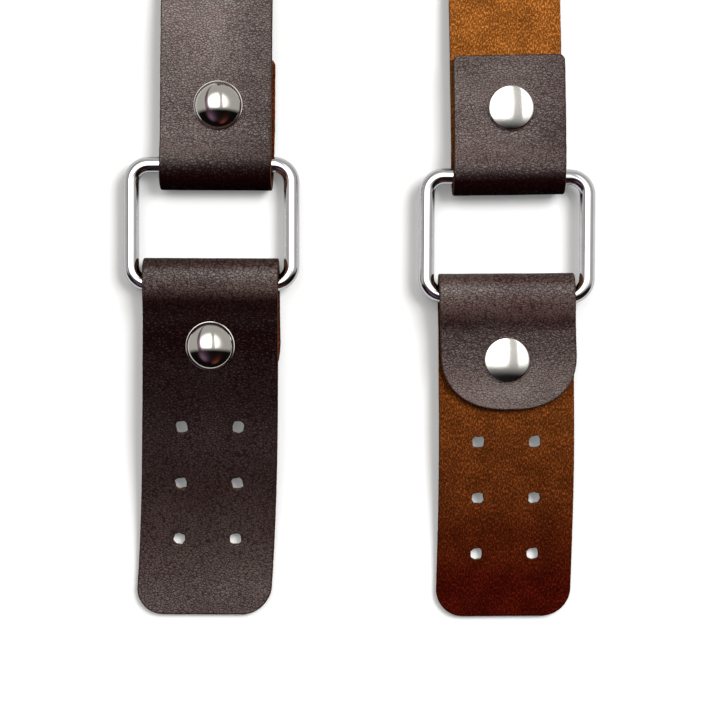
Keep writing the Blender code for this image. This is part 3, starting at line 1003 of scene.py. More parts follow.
@dataclass(frozen=True)
class PebbleGrain:
    """Embossed leather grain: rounded cells between fine valleys, with coarser wrinkles over them."""

    name: str = "pebble grain"
    drift_scale: float = 2.2
    drift: tuple[float, float, float] = (0.16, 0.16, 0)
    squeeze: tuple[float, float, float] = (0.8, 1.25, 1)
    valley: float = 0.16
    pebble_height: float = 0.38
    fine_scale: float = 30.0
    fine_height: float = 0.5
    fold_squeeze: tuple[float, float, float] = (0.66, 1.3, 1)
    fold_scale: float = 12.0
    fold_valley: float = 0.26

    def build(self) -> None:
        """Makes the node group.

        The coordinates are first bent by a slow noise. Height is the eased distance from the cells'
        edges and a fine noise, less the valleys of larger cells drawn out across the strap.
        """
        s, ends = new_group(self.name, {"Place": None, "Cells": 12.0, "Wrinkles": 0.5}, ["Height"])
        place = ends["in"]["Place"]
        slow = s.node("TexNoise", Vector=place, Scale=self.drift_scale, Detail=2.0).outputs["Color"]
        bent = s.vector("MULTIPLY_ADD", s.vector("SUBTRACT", slow, (0.5, 0.5, 0.5)), self.drift, place)
        cells = s.edges(s.vector("MULTIPLY", bent, self.squeeze), ends["in"]["Cells"])
        pebble = s.step(cells, 0.0, self.valley)
        fine = s.math("MULTIPLY", s.noise(bent, self.fine_scale, 3.0), self.fine_height)
        height = s.math("MULTIPLY_ADD", pebble, self.pebble_height, fine)
        folds = s.edges(s.vector("MULTIPLY", bent, self.fold_squeeze), self.fold_scale)
        wrinkles = s.math("MULTIPLY", s.step(folds, self.fold_valley, 0.0), ends["in"]["Wrinkles"])
        s.feed(ends["out"]["Height"], s.math("SUBTRACT", height, wrinkles))


@dataclass(frozen=True)
class LeatherFibre:
    """Brushed fibre: two fine noises drawn out along different directions, and slow nap clouds."""

    name: str = "leather fibre"
    across: tuple[float, float, float] = (1.0, 0.42, 1)
    slant: tuple[float, float, float] = (0.5, 1.4, 1)
    slant_turn: float = 0.9
    slant_share: float = 0.8
    nap_scale: float = 1.6

    def build(self) -> None:
        """Makes the node group: Height is the sum of the two fibres, and Nap the slow clouds."""
        s, ends = new_group(self.name, {"Place": None, "Scale": 20.0}, ["Height", "Nap"])
        place, scale = ends["in"]["Place"], ends["in"]["Scale"]
        across = s.noise(s.vector("MULTIPLY", place, self.across), scale, 3.0)
        turned = s.node("Mapping", Vector=place, Rotation=(0, 0, self.slant_turn), Scale=self.slant)
        slant = s.noise(turned.outputs[0], scale, 4.0, 0.65)
        s.feed(ends["out"]["Height"], s.math("ADD", across, s.math("MULTIPLY", slant, self.slant_share)))
        s.feed(ends["out"]["Nap"], s.noise(place, self.nap_scale, 3.0, 0.6))


def new_material(name: str) -> tuple[Material, Shader, bpy.types.Node]:
    """A material with one Principled BSDF.

    Args:
        name: The material's name.

    Returns:
        The material, its Shader and its Principled node.
    """
    made = bpy.data.materials.new(name)
    made.use_nodes = True
    shader = Shader(made.node_tree)
    surface = shader.node("BsdfPrincipled")
    shader.tree.links.new(surface.outputs[0], shader.node("OutputMaterial").inputs[0])
    return made, shader, surface


@dataclass(frozen=True)
class GrainFinish:
    """Dark, pebbled leather, lighter and glossier where the piece's own number for painted sheen and
    painted shade is high.
    """

    name: str
    low: Colour
    high: Colour
    plum: Colour
    cells: float = 17.0
    flat_wrinkles: float = 0.14
    folded_wrinkles: float = 0.3
    folded: float = 0.2
    pebble_top: float = 0.65
    shaded_foot: float = 0.35
    # The foot of the grain's height step at low and at high painted light, so that the valleys widen into
    # painted shade where it is low; then the scale of the coat's painted sheen, and a little coat on the
    # peaks where the painted light is low.
    sheened_foot: float = -0.05
    shaded_peak_coat: float = 0.055
    sheen_coat: float = 1.0
    wax_ior: float = 1.85
    wax_roughness: float = 0.38
    roughness: float = 0.6
    bump: float = 0.85
    bump_height: float = 0.09 * MM

    def build(self) -> Material:
        """Colour and the coat both rise with the grain's height and with the number for painted sheen and
        shade; bump from the grain.

        Returns:
            The material.
        """
        made, s, surface = new_material(self.name)
        uv = s.node("UVMap", uv_map="blank").outputs[0]
        # The mesh's painted light number paints sheen and shade. It lightens the base colour and thickens
        # the coat where the leather would mirror the overhead light, and darkens both where it would not.
        bend, painted_light = s.read("bend"), s.read("painted_light")
        wrinkles = s.step(bend, 0.0, self.folded, self.flat_wrinkles, self.folded_wrinkles)
        height = s.group("pebble grain", Place=uv, Cells=self.cells, Wrinkles=wrinkles).outputs["Height"]
        top = s.mix(s.step(s.noise(uv, 0.55, 3.0), 0.35, 0.7), self.high, self.plum)
        foot = s.math("MULTIPLY_ADD", painted_light, self.sheened_foot - self.shaded_foot, self.shaded_foot)
        raised = s.math("MULTIPLY_ADD", s.step(height, foot, self.pebble_top), 0.85, 0.15)
        # Painted shade: the base colour falls to the dark low colour as the painted light falls.
        lit = s.math("MULTIPLY", raised, s.math("MULTIPLY_ADD", painted_light, 0.99, 0.01))
        s.feed(surface.inputs["Base Color"], s.mix(lit, self.low, top))
        # Painted sheen: the coat's weight follows the painted light.
        painted_sheen = s.math("MULTIPLY_ADD", painted_light, 0.985, 0.008)
        shine = s.math("MULTIPLY", s.math("MULTIPLY_ADD", raised, 0.75, 0.25), painted_sheen)
        # A little coat on the grain's peaks where the painted light is low, for glints in the painted
        # shade.
        peaks = s.step(height, 0.4, 0.58, 0.0, self.shaded_peak_coat)
        shine = s.math("MULTIPLY_ADD", peaks, s.math("SUBTRACT", 1.0, painted_light), shine)
        s.feed(surface.inputs["Coat Weight"], s.math("MULTIPLY", shine, self.sheen_coat))
        surface.inputs["Coat IOR"].default_value = self.wax_ior
        surface.inputs["Coat Roughness"].default_value = self.wax_roughness
        surface.inputs["Specular IOR Level"].default_value = 0.0
        surface.inputs["Roughness"].default_value = self.roughness
        normal = s.lift(self.bump, self.bump_height, height)
        s.feed(surface.inputs["Normal"], normal)
        s.feed(surface.inputs["Coat Normal"], normal)
        return made


@dataclass(frozen=True)
class FleshFinish:
    """The tan, brushed flesh side, darker where the piece's own shade number is high."""

    name: str
    pale: Colour
    deep: Colour
    fibre_scale: float = 38.0
    flat_nap: Colour = (0.74, 0.72, 0.7)
    raised_nap: Colour = (1.16, 1.15, 1.12)
    gap: Colour = (0.46, 0.42, 0.4)
    thread: Colour = (2.45, 2.35, 2.35)
    thread_share: float = 0.9
    roughness: float = 0.92
    bump: float = 0.9
    bump_height: float = 0.16 * MM

    def build(self) -> Material:
        """Colour from the shade number, fibre and nap; fully matt.

        Returns:
            The material.
        """
        made, s, surface = new_material(self.name)
        uv = s.node("UVMap", uv_map="blank").outputs[0]
        fibre = s.group("leather fibre", Place=uv, Scale=self.fibre_scale).outputs
        # The shade number gives painted shade inside the folds and under the flaps, and makes a tab's flesh
        # darker towards its tip.
        base = s.mix(s.read("shade"), self.pale, self.deep)
        nap = s.mix(s.step(fibre["Nap"], 0.3, 0.7), self.flat_nap, self.raised_nap)
        colour = s.mix(1.0, base, nap, "MULTIPLY")
        threads = s.mix(s.step(fibre["Height"], 0.84, 1.16), self.gap, self.thread)
        s.feed(surface.inputs["Base Color"], s.mix(self.thread_share, colour, threads, "MULTIPLY"))
        surface.inputs["Roughness"].default_value = self.roughness
        surface.inputs["Specular IOR Level"].default_value = 0.0
        s.feed(surface.inputs["Normal"], s.lift(self.bump, self.bump_height, fibre["Height"]))
        return made


@dataclass(frozen=True)
class EdgeFinish:
    """The raw cut edge: a dark skin line over orange-tan fibre."""

    name: str
    skin: Colour
    fibre: Colour
    shadow_share: float = 0.4
    fibre_scale: float = 22.0
    fibre_run: tuple[float, float, float] = (100, 100, 260)
    roughness: float = 0.85
    specular: float = 0.25
    bump: float = 0.8
    bump_height: float = 0.12 * MM

    def build(self) -> Material:
        """Colour from how deep in the thickness a point is, broken up by fibre.

        Returns:
            The material.
        """
        made, s, surface = new_material(self.name)
        place = s.vector("MULTIPLY", s.node("TexCoord").outputs["Object"], self.fibre_run)
        fibre = s.group("leather fibre", Place=place, Scale=self.fibre_scale).outputs["Height"]
        rough_depth = s.math("MULTIPLY_ADD", fibre, 0.3, s.read("depth"))
        shadow = tuple(self.shadow_share * part for part in self.fibre)
        tan = s.mix(s.step(fibre, 0.5, 1.2), shadow, self.fibre)
        s.feed(surface.inputs["Base Color"], s.mix(s.step(rough_depth, 0.95, 1.2), tan, self.skin))
        surface.inputs["Roughness"].default_value = self.roughness
        surface.inputs["Specular IOR Level"].default_value = self.specular
        s.feed(surface.inputs["Normal"], s.lift(self.bump, self.bump_height, fibre))
        return made


@dataclass(frozen=True)
class NickelFinish:
    """Polished nickel plate with faint handling marks."""

    name: str
    colour: Colour
    roughness: float
    smudged: float = 0.06
    specks: float = 0.12
    dulled: float = 0.93
    bump: float = 0.3
    wave_height: float = 0.015 * MM

    def build(self) -> Material:
        """Mirror metal: roughness from smudges, and a shallow bump from plating waves.

        Returns:
            The material.
        """
        made, s, surface = new_material(self.name)
        place = s.vector("MULTIPLY", s.node("TexCoord").outputs["Object"], (100, 100, 100))
        smudge = s.noise(place, 3.0, 4.0, 0.6)
        speck = s.step(s.noise(place, 60.0, 2.0), 0.68, 0.76)
        rough = s.step(smudge, 0.35, 0.75, self.roughness, self.roughness + self.smudged)
        s.feed(surface.inputs["Roughness"], s.math("MULTIPLY_ADD", speck, self.specks, rough))
        dull = tuple(self.dulled * part for part in self.colour)
        s.feed(surface.inputs["Base Color"], s.mix(s.step(smudge, 0.3, 0.8), self.colour, dull))
        surface.inputs["Metallic"].default_value = 1.0
        s.feed(surface.inputs["Normal"], s.lift(self.bump, self.wave_height, s.noise(place, 9.0, 2.0)))
        return made


@dataclass
class Looks:
    """Every finish of the suspenders, built once."""

    grain: Material = field(init=False)
    flesh: Material = field(init=False)
    edge: Material = field(init=False)
    wire: Material = field(init=False)
    dome: Material = field(init=False)
    cap: Material = field(init=False)

    def __post_init__(self) -> None:
        """Builds the shared groups and then the materials."""
        PebbleGrain().build()
        LeatherFibre().build()
        self.grain = GrainFinish(
            "brown grain leather",
            low=(0.0031, 0.0003, 0.0004),
            high=(0.049, 0.027, 0.021),
            plum=(0.052, 0.021, 0.019),
        ).build()
        self.flesh = FleshFinish(
            "tan suede flesh side", pale=(0.17, 0.060, 0.0115), deep=(0.0275, 0.0024, 0.001)
        ).build()
        self.edge = EdgeFinish(
            "raw cut edge", skin=(0.012, 0.006, 0.004), fibre=(0.085, 0.037, 0.015)
        ).build()
        self.wire = NickelFinish("bright nickel wire", (0.80, 0.80, 0.82), 0.05).build()
        self.dome = NickelFinish("nickel dome", (0.82, 0.79, 0.74), 0.035).build()
        self.cap = NickelFinish("nickel cap", (0.84, 0.83, 0.79), 0.07).build()

    @property
    def leather(self) -> list[Material]:
        """The three materials of a leather piece, in slot order."""
        return [self.grain, self.flesh, self.edge]


# ---------------------------------------------------------------- hardware


@dataclass(frozen=True)
class WireRing:
    """A rounded rectangular ring of round wire, butt-jointed in the middle of its lower bar."""

    wire: float = 3.5 * MM
    inside_width: float = 32.3 * MM
    corner: float = 3.9 * MM
    joint_groove: float = 0.16 * MM
    groove_width: float = 0.35 * MM
    wide_steps: int = 40
    high_steps: int = 30
    corner_steps: int = 24
    round_steps: int = 40

    def centre_line(self, half_x: float, half_y: float) -> tuple[Array, Array]:
        """The wire's middle line: four straights and four quarter arcs, anticlockwise.

        Args:
            half_x, half_y: Half the size of the middle line's rectangle.

        Returns:
            Points and outward normals, as (n, 2) arrays, from the middle of the lower bar.
        """
        points, normals = [], []
        arc = np.linspace(0, np.pi / 2, self.corner_steps + 1)[:-1, None]
        sides = 2 * [(half_x, half_y, self.wide_steps), (half_y, half_x, self.high_steps)]
        for quarter, (half, reach, steps) in enumerate(sides):
            heading = quarter * np.pi / 2
            along = np.array([np.cos(heading), np.sin(heading)])
            out = np.array([along[1], -along[0]])
            run = np.linspace(-1, 1, steps + 1)[:-1, None] * (half - self.corner)
            round_out = out * np.cos(arc) + along * np.sin(arc)
            centre = along * (half - self.corner) + out * (reach - self.corner)
            points += [out * reach + along * run, centre + round_out * self.corner]
            normals += [np.repeat(out[None], steps, axis=0), round_out]
        return np.concatenate(points), np.concatenate(normals)

    def build(self, end: str, look: Material) -> Object:
        """Sweeps the round wire: middle line + r (cos a normal + sin a up), with a fine joint groove.

        Args:
            end: Name of the end that it hangs on.
            look: Its material.

        Returns:
            The ring.
        """
        upper = np.array(JOINTS[f"{end}_ring_in_strap"]["pos_m"])
        lower = np.array(JOINTS[f"{end}_tab_on_ring"]["pos_m"])
        pitch = np.linalg.norm(upper - lower)
        up = (upper - lower) / pitch
        right = np.array([up[1], -up[0], 0])
        line, normal = self.centre_line((self.inside_width + self.wire) / 2, pitch / 2)
        from_joint = np.hypot(line[:, 0], line[:, 1] + pitch / 2)
        radius = self.wire / 2 - self.joint_groove * np.exp(-((from_joint / self.groove_width) ** 2))
        turn = np.linspace(0, 2 * np.pi, self.round_steps, endpoint=False)
        flat = line[:, None, :] + normal[:, None, :] * (radius[:, None] * np.cos(turn))[:, :, None]
        height = radius[:, None] * np.sin(turn)
        centre = (upper + lower) / 2
        verts = centre + flat[:, :, :1] * right + flat[:, :, 1:] * up
        verts[:, :, 2] += height
        sides = len(turn)
        row = np.arange(len(line))[:, None] * sides
        side = np.arange(sides)
        next_row, next_side = np.roll(row, -1, axis=0), np.roll(side, -1)
        quads = np.stack([row + side, next_row + side, next_row + next_side, row + next_side], axis=2)
        piece = make_object(f"{end}_ring_wire", verts.reshape(-1, 3), quads.reshape(-1, 4).tolist(), [look])
        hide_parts(f"ring_{end}")
        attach(piece, f"{end}_ring")
        return piece


@dataclass(frozen=True)
class Rivet:
    """A two-part rivet: a lipped dome with a tube, and a flat cap with a stem."""

    dome_radius: float = 5.5 * MM
    crown_radius: float = 5.12 * MM
    crown_rise: float = 2.35 * MM
    dome_height: float = 3.3 * MM
    cap_radius: float = 5.05 * MM
    cap_height: float = 1.3 * MM
    seat: float = LAYER_MID + LEATHER / 2 + 0.1 * MM
    tube_radius: float = 1.45 * MM
    bore_radius: float = 1.05 * MM
    stem_radius: float = 0.95 * MM
    fillet: float = 0.3 * MM
    lip: float = 0.11 * MM
    wall_step: float = 0.06 * MM
    rim_round: float = 0.42 * MM
    face_crown: float = 0.57 * MM
    rim_sweep: float = math.radians(72)

    def dome_profile(self) -> Array:
        """A ball's cap (R sin a, R cos a), a short flared wall, the lip's half round, and the tube.

        Returns:
            Points (radius, height) from the middle of the two layers, top pole first.
        """
        lip, wall_radius = self.lip, self.crown_radius + self.wall_step
        ball = (self.crown_radius**2 + self.crown_rise**2) / (2 * self.crown_rise)
        turn = np.linspace(0, np.arcsin(self.crown_radius / ball), 30)
        top = self.seat + self.dome_height
        crown = np.stack([ball * np.sin(turn), top - ball * (1 - np.cos(turn))], axis=1)
        wall_top = (wall_radius, crown[-1, 1] - 0.2 * MM)
        wall = np.array([wall_top, (wall_radius + self.wall_step / 2, self.seat + 2.6 * lip)])
        round_lip = np.linspace(np.pi / 2, -np.pi / 2, 9)
        lip_r = self.dome_radius - lip
        rim = np.stack([lip_r + lip * np.cos(round_lip), self.seat + lip + lip * np.sin(round_lip)], axis=1)
        below = [
            (self.tube_radius + self.fillet, self.seat),
            (self.tube_radius, self.seat - 0.1 * MM),
            (self.tube_radius, -LAYER_MID),
            (self.bore_radius, -LAYER_MID),
            (self.bore_radius, LAYER_MID * 1.5),
            (0, LAYER_MID * 1.5),
        ]
        return np.concatenate([crown, wall, rim, below])

    def cap_profile(self) -> Array:
        """From the stem's top down to the seat, out, round the rim, and over the slightly crowned face.

        Returns:
            Points (radius, height) from the middle of the two layers, top pole first.
        """
        face = -self.seat - self.cap_height
        stem = [(0, LAYER_MID), (self.stem_radius, LAYER_MID), (self.stem_radius, -self.seat + 0.05 * MM)]
        under = [(self.stem_radius + self.fillet, -self.seat), (self.cap_radius - 0.18 * MM, -self.seat)]
        side = [(self.cap_radius, -self.seat - 0.15 * MM)]
        turn = np.linspace(0, self.rim_sweep, 10)
        foot, shoulder = -self.seat - 0.4 * MM, face + self.face_crown
        fall = (foot - shoulder) / np.sin(turn[-1])
        rim_out = self.cap_radius - self.rim_round * (1 - np.cos(turn))
        rim = np.stack([rim_out, foot - fall * np.sin(turn)], axis=1)
        share = np.linspace(1, 0, 30)[1:]
        crown = np.stack([rim[-1, 0] * share, face + self.face_crown * share**2], axis=1)
        return np.concatenate([stem, under, side, rim, crown])

    def build(self, name: str, body: str, side: Side, looks: Looks) -> tuple[float, float]:
        """Makes both halves where the frame has them.

        Args:
            name: The rivet's node name without its half.
            body: The CAD body that it rides on.
            side: FLESH_UP where the dome faces the table.
            looks: The finishes.

        Returns:
            x and y of its axis.
        """
        low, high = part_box(name + "_dome")
        centre = (low + high) / 2
        if side is Side.GRAIN_UP:
            centre.z = high.z - self.seat - self.dome_height
        else:
            centre.z = low.z + self.seat + self.dome_height
        halves = (("_dome", self.dome_profile(), looks.dome), ("_cap", self.cap_profile(), looks.cap))
        for half, profile, look in halves:
            piece = lathe(name + half + "_plated", profile, centre, side, look)
            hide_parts(name + half)
            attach(piece, body)
        return centre.x, centre.y


# ---------------------------------------------------------------- the ends


@dataclass
class End:
    """One end: a strap and a tab, folded and riveted round the two bars of a ring."""

    name: str
    side: Side
    strap: FoldedEnd
    tab: FoldedEnd
    tab_length: float
    tab_curl: float
    looks: Looks
    strap_width: float = 24.9 * MM
    tab_width: float = 30.2 * MM
    strap_drift: float = 0.65 * MM
    strap_held: float = 0.6
    tab_drift: float = 0.6 * MM
    hole_radius: float = 1.5 * MM
    hole_pitch: float = 12.6 * MM
    first_row: float = 32.3 * MM
    rivet_aside: float = 0.0
    strap_corner: Corner = Corner(1.2 * MM, 1.2 * MM)
    strap_columns: int = 44
    flap_corner: Corner = Corner(14.6 * MM, 12.2 * MM, 2.35)
    tip_corner: Corner = Corner(6 * MM, 6 * MM)
    tab_columns: int = 116
    tab_rows: int = 350
    # Painted light on the grain. There is painted sheen where the leather would mirror the overhead light,
    # and painted shade where it would not. There is also painted shade towards the strap's right edge.
    strap_right_shade: float = 0.22
    strap_painted_light: Stops = ((-5, 0.1), (-1, 0.2), (2, 0.9), (40, 1.0))
    tab_painted_light: Stops = ((-5, 0.5), (-1, 0.8), (5, 0.3), (24, 0.3), (72, 0.7))
    # Flesh side: painted shade inside the folds and under the flaps; along the tab the flesh also gets
    # darker towards its tip.
    strap_shade: Stops = ((5, 0.8), (30, 0.2))
    tab_shade: Stops = ((5, 1.0), (24, 0.66), (42, 0.78), (55, 0.93), (65, 1.0))

    def bar(self, joint: str) -> Vector:
        """Middle of one of the ring's bars, on its joint's axis."""
        return Vector(JOINTS[joint.format(self.name)]["pos_m"])

    @staticmethod
    def read_stops(stops: Stops, forward: Array) -> Array:
        """A value eased from each stop to the next.

        Args:
            stops: Millimetres from the bar and the value there, in order.
            forward: Distances from the bar, in metres.

        Returns:
            The value at each.
        """
        far, level = np.array(stops).T
        k = np.clip(np.searchsorted(far, forward / MM, side="right") - 1, 0, len(far) - 2)
        share = ease((forward / MM - far[k]) / (far[k + 1] - far[k]))
        return level[k] + (level[k + 1] - level[k]) * share

    def shade(self, lay: Lay, stops: Stops) -> Callable[[Array], Array]:
        """How dark the flesh side is, by distance from the bar: painted shade inside the folds and under
        the flaps, and darker towards a tab's tip.
        """
        return lambda along: self.read_stops(stops, lay.course.at(along)[0])

    def painted_light(self, lay: Lay, stops: Stops, right_shade: float) -> Callable[[Array, Array], Array]:
        """Painted sheen and shade on the grain: stops eased along the leather, less to the right, and
        clouded.

        Args:
            lay: How the piece lies.
            stops: Millimetres from the bar and the painted light there, in order.
            right_shade: How much painted shade takes off the painted light towards the right edge.

        Returns:
            A function of places in the blank.
        """

        fade_from, fade_over, most = -2 * MM, 14 * MM, 1.2

        def value(across: Array, along: Array) -> Array:
            """The painted light at each place of the blank.

            Args:
                across, along: Places in the blank, in metres.

            Returns:
                The painted light, from 0 to a little over 1.
            """
            level = self.read_stops(stops, lay.course.at(along)[0])
            level = level * (1 - right_shade * ease((self.side.value * across - fade_from) / fade_over))
            clouds = lumps(across, along, 9 * MM, 7) + 0.5 * lumps(across, along, 3.5 * MM, 8)
            return np.clip(level * (1 + 0.12 * clouds), 0, most)

        return value

    def tab_lay(self) -> Lay:
        """How the tab lies, from its flap's end round the lower bar to its tip.

        Returns:
            The tab's lay, its length taken from its course.
        """
        bar = self.bar("{}_tab_on_ring")
        points = self.tab.course(self.side, bar.z)
        course = Course(np.concatenate([points, [(self.tab_length, TABLE_MID)]]))
        heading = math.pi - math.radians(self.tab.lean)
        stretches = [(self.tab.flap, 0), (self.tab_length - self.tab.flap, -self.tab_curl)]
        plan = Plan((bar.x + self.tab.shift, bar.y), heading, stretches)
        length = course.reached[-1]
        return Lay(self.side, course, plan, length, -self.tab_drift, 0.0, self.tab_width, square_to=heading)

    def fit(self, piece: Object, node: str, body: str) -> None:
        """Puts a leather piece in its CAD node's place, on a body.

        Args:
            piece: The piece.
            node: The CAD node that it replaces.
            body: The CAD body that it rides on.
        """
        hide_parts(node)
        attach(piece, body)

    def report(self, what: str, lay: Lay, piece: Object) -> None:
        """Logs a leather piece's length and number of faces."""
        faces = len(piece.data.polygons)
        log.info("%s %s: %.1f mm of leather, %d faces", self.name, what, lay.length / MM, faces)

    def build_tab(self) -> None:
        """Cuts, folds and rivets the tab, with its six punched holes."""
        lay = self.tab_lay()
        holes = []
        for row in range(3):
            along = lay.course.distance_to(self.first_row + row * self.hole_pitch)
            for column in (-0.5, 0.5):
                seed = 10 * row + int(column * 2) + len(self.name)
                holes.append(PunchedHole(column * self.hole_pitch, along, self.hole_radius, seed))
        sheet = strip_sheet(
            self.tab_width,
            lay.length,
            self.flap_corner,
            self.tip_corner,
            self.tab_columns,
            self.tab_rows,
            holes,
        )
        over, under = lay.course.distance_to(self.tab.rivet), self.tab.flap - self.tab.rivet
        hide = Hide(
            f"{self.name}_tab_leather",
            sheet,
            lay.place,
            seed=40 + len(self.name),
            rivets=[(0, over), (0, under)],
            bend=lay.bend,
            shade=self.shade(lay, self.tab_shade),
            painted_light=self.painted_light(lay, self.tab_painted_light, 0.0),
        )
        piece = hide.build(self.looks.leather)
        self.fit(piece, f"tab_{self.name}", f"{self.name}_tab")
        Rivet().build(f"tab_{self.name}_rivet", f"{self.name}_tab", self.side, self.looks)
        self.report("tab", lay, piece)

    def build_strap(self, lay: Lay, rows: int) -> None:
        """Cuts, folds and rivets the strap.

        Args:
            lay: How it lies, from its flap's end to the yoke.
            rows: Rows of faces along it.
        """
        corner = self.strap_corner
        sheet = strip_sheet(self.strap_width, lay.length, corner, corner, self.strap_columns, rows, [])
        over, under = lay.course.distance_to(self.strap.rivet), self.strap.flap - self.strap.rivet
        aside = self.rivet_aside * self.side.value
        hide = Hide(
            f"{self.name}_strap_leather",
            sheet,
            lay.place,
            seed=70 + len(self.name),
            rivets=[(aside, over), (aside, under)],
            bend=lay.bend,
            shade=self.shade(lay, self.strap_shade),
            painted_light=self.painted_light(lay, self.strap_painted_light, self.strap_right_shade),
        )
        piece = hide.build(self.looks.leather)
        self.fit(piece, f"strap_{self.name}", "harness")
        Rivet().build(f"strap_{self.name}_rivet", "harness", self.side, self.looks)
        self.report("strap", lay, piece)

    def build(self, lay: Lay, rows: int) -> None:
        """Builds the strap, the ring and the tab.

        Args:
            lay: How the strap lies.
            rows: Rows of faces along the strap.
        """
        self.build_strap(lay, rows)
        WireRing().build(self.name, self.looks.wire)
        self.build_tab()


@dataclass
class FrontEnd(End):
    """A front end, whose strap runs up to the shoulder fold and back to the yoke."""

    plan: list[tuple[float, float]] = field(default_factory=list)
    twist: tuple[float, float] | None = None
    course_spare: float = 20 * MM
    end_past_rivet: float = 9 * MM
    rivet_pitch: float = 20 * MM

    def yoke_end(self) -> tuple[float, float]:
        """Where the strap ends: on past its two yoke rivets, in line with them.

        Returns:
            x and y of the end's middle.
        """
        spots = []
        for label in ("lower", "upper"):
            low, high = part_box(f"yoke_{self.name}_{label}_rivet_dome")
            spots.append((low + high) / 2)
        lower, upper = spots
        end = lower + (lower - upper) * (self.end_past_rivet / self.rivet_pitch)
        return end.x, end.y

    def strap_lay(self) -> Lay:
        """How the strap lies, with its half twist if it has one.

        Returns:
            The strap's lay, its length found from where the yoke holds it.
        """
        bar = self.bar("{}_ring_in_strap")
        total = sum(length for length, _ in self.plan)
        points = self.strap.course(self.side, bar.z)
        course = Course(np.concatenate([points, [(total + self.course_spare, TABLE_MID)]]))
        plan = Plan((bar.x + self.strap.shift, bar.y), -math.radians(self.strap.lean), self.plan)
        twist = (course.distance_to(self.twist[0]), self.twist[1]) if self.twist else None
        held = self.strap_held * self.strap.flap
        drift, width, target = self.strap_drift, self.strap_width, self.yoke_end()
        return ShoulderLay(self.side, course, plan, 0.0, drift, held, width, twist, target=target)


@dataclass
class BackEnd(End):
    """The back end, whose strap runs straight up to the yoke."""

    upper_mid: float = 3.1 * MM
    yoke_overlap: float = 39.1 * MM
    end_past_rivet: float = 9 * MM

    def strap_lay(self) -> Lay:
        """How the strap lies: down to the table and up again to the yoke's level.

        Returns:
            The strap's lay, its length taken from its course.
        """
        bar = self.bar("{}_ring_in_strap")
        low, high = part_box("yoke_back_upper_rivet_dome")
        end = (low.y + high.y) / 2 + self.end_past_rivet - bar.y
        points = self.strap.course(self.side, bar.z)
        rise = slope(tuple(points[-1]), (end - self.yoke_overlap, self.upper_mid))
        course = Course(np.concatenate([points, rise, [(end, self.upper_mid)]]))
        plan = Plan((bar.x + self.strap.shift, bar.y), -math.radians(self.strap.lean), [(end, 0)])
        held = self.strap_held * self.strap.flap
        return Lay(self.side, course, plan, course.reached[-1], self.strap_drift, held, self.strap_width)


@dataclass
class Yoke:
    """The leather yoke over the three straps' ends, with its six rivets."""

    looks: Looks
    top_half: float = 37.5 * MM
    waist_half: float = 21 * MM
    foot_half: float = 16.5 * MM
    height: float = 86 * MM
    shoulder: float = 41 * MM
    notch: float = 7 * MM
    corner: float = 7 * MM
    corner_steps: int = 14
    rings: int = 60
    seed: int = 90

    def outline(self) -> Array:
        """The yoke's outline about its own middle, drawn in a little for the cut edge.

        Returns:
            Points, as an (n, 2) array.
        """
        half = [(self.top_half, self.height), (self.waist_half, self.shoulder), (self.foot_half, 0)]
        left, right = [(-x, y) for x, y in half], half[::-1]
        top = (0, self.height - self.notch)
        line = rounded_outline([top, *left, *right], self.corner, self.corner_steps)
        line = line - [0, line.max(axis=0)[1] / 2]
        return line * (1 - SKIN_INSET / (1.6 * self.foot_half))

    def build(self) -> None:
        """Cuts the yoke round its middle and lays it flat over the straps."""
        low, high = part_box("yoke")
        middle = (low + high) / 2

        def place(across: Array, along: Array, through: Array) -> Array:
            """Straight onto the plane of the yoke."""
            return np.stack([middle.x + across, middle.y + along, middle.z + through], axis=1)

        spots = []
        for strap in ("left", "right", "back"):
            for label in ("lower", "upper"):
                x, y = Rivet().build(f"yoke_{strap}_{label}_rivet", "harness", Side.GRAIN_UP, self.looks)
                spots.append((x - middle.x, y - middle.y))
        hide = Hide("yoke_leather", star_sheet(self.outline(), self.rings), place, self.seed, spots)
        piece = hide.build(self.looks.leather)
        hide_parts("yoke")
        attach(piece, "harness")
        log.info("yoke: %d faces", len(piece.data.polygons))


# ---------------------------------------------------------------- studio


@dataclass(frozen=True)
class Glow:
    """A round patch of the overhead light: its middle, its width and height, and its colour."""

    x: float
    y: float
    wide: float
    high: float
    tint: Colour = (1.0, 1.0, 1.0)


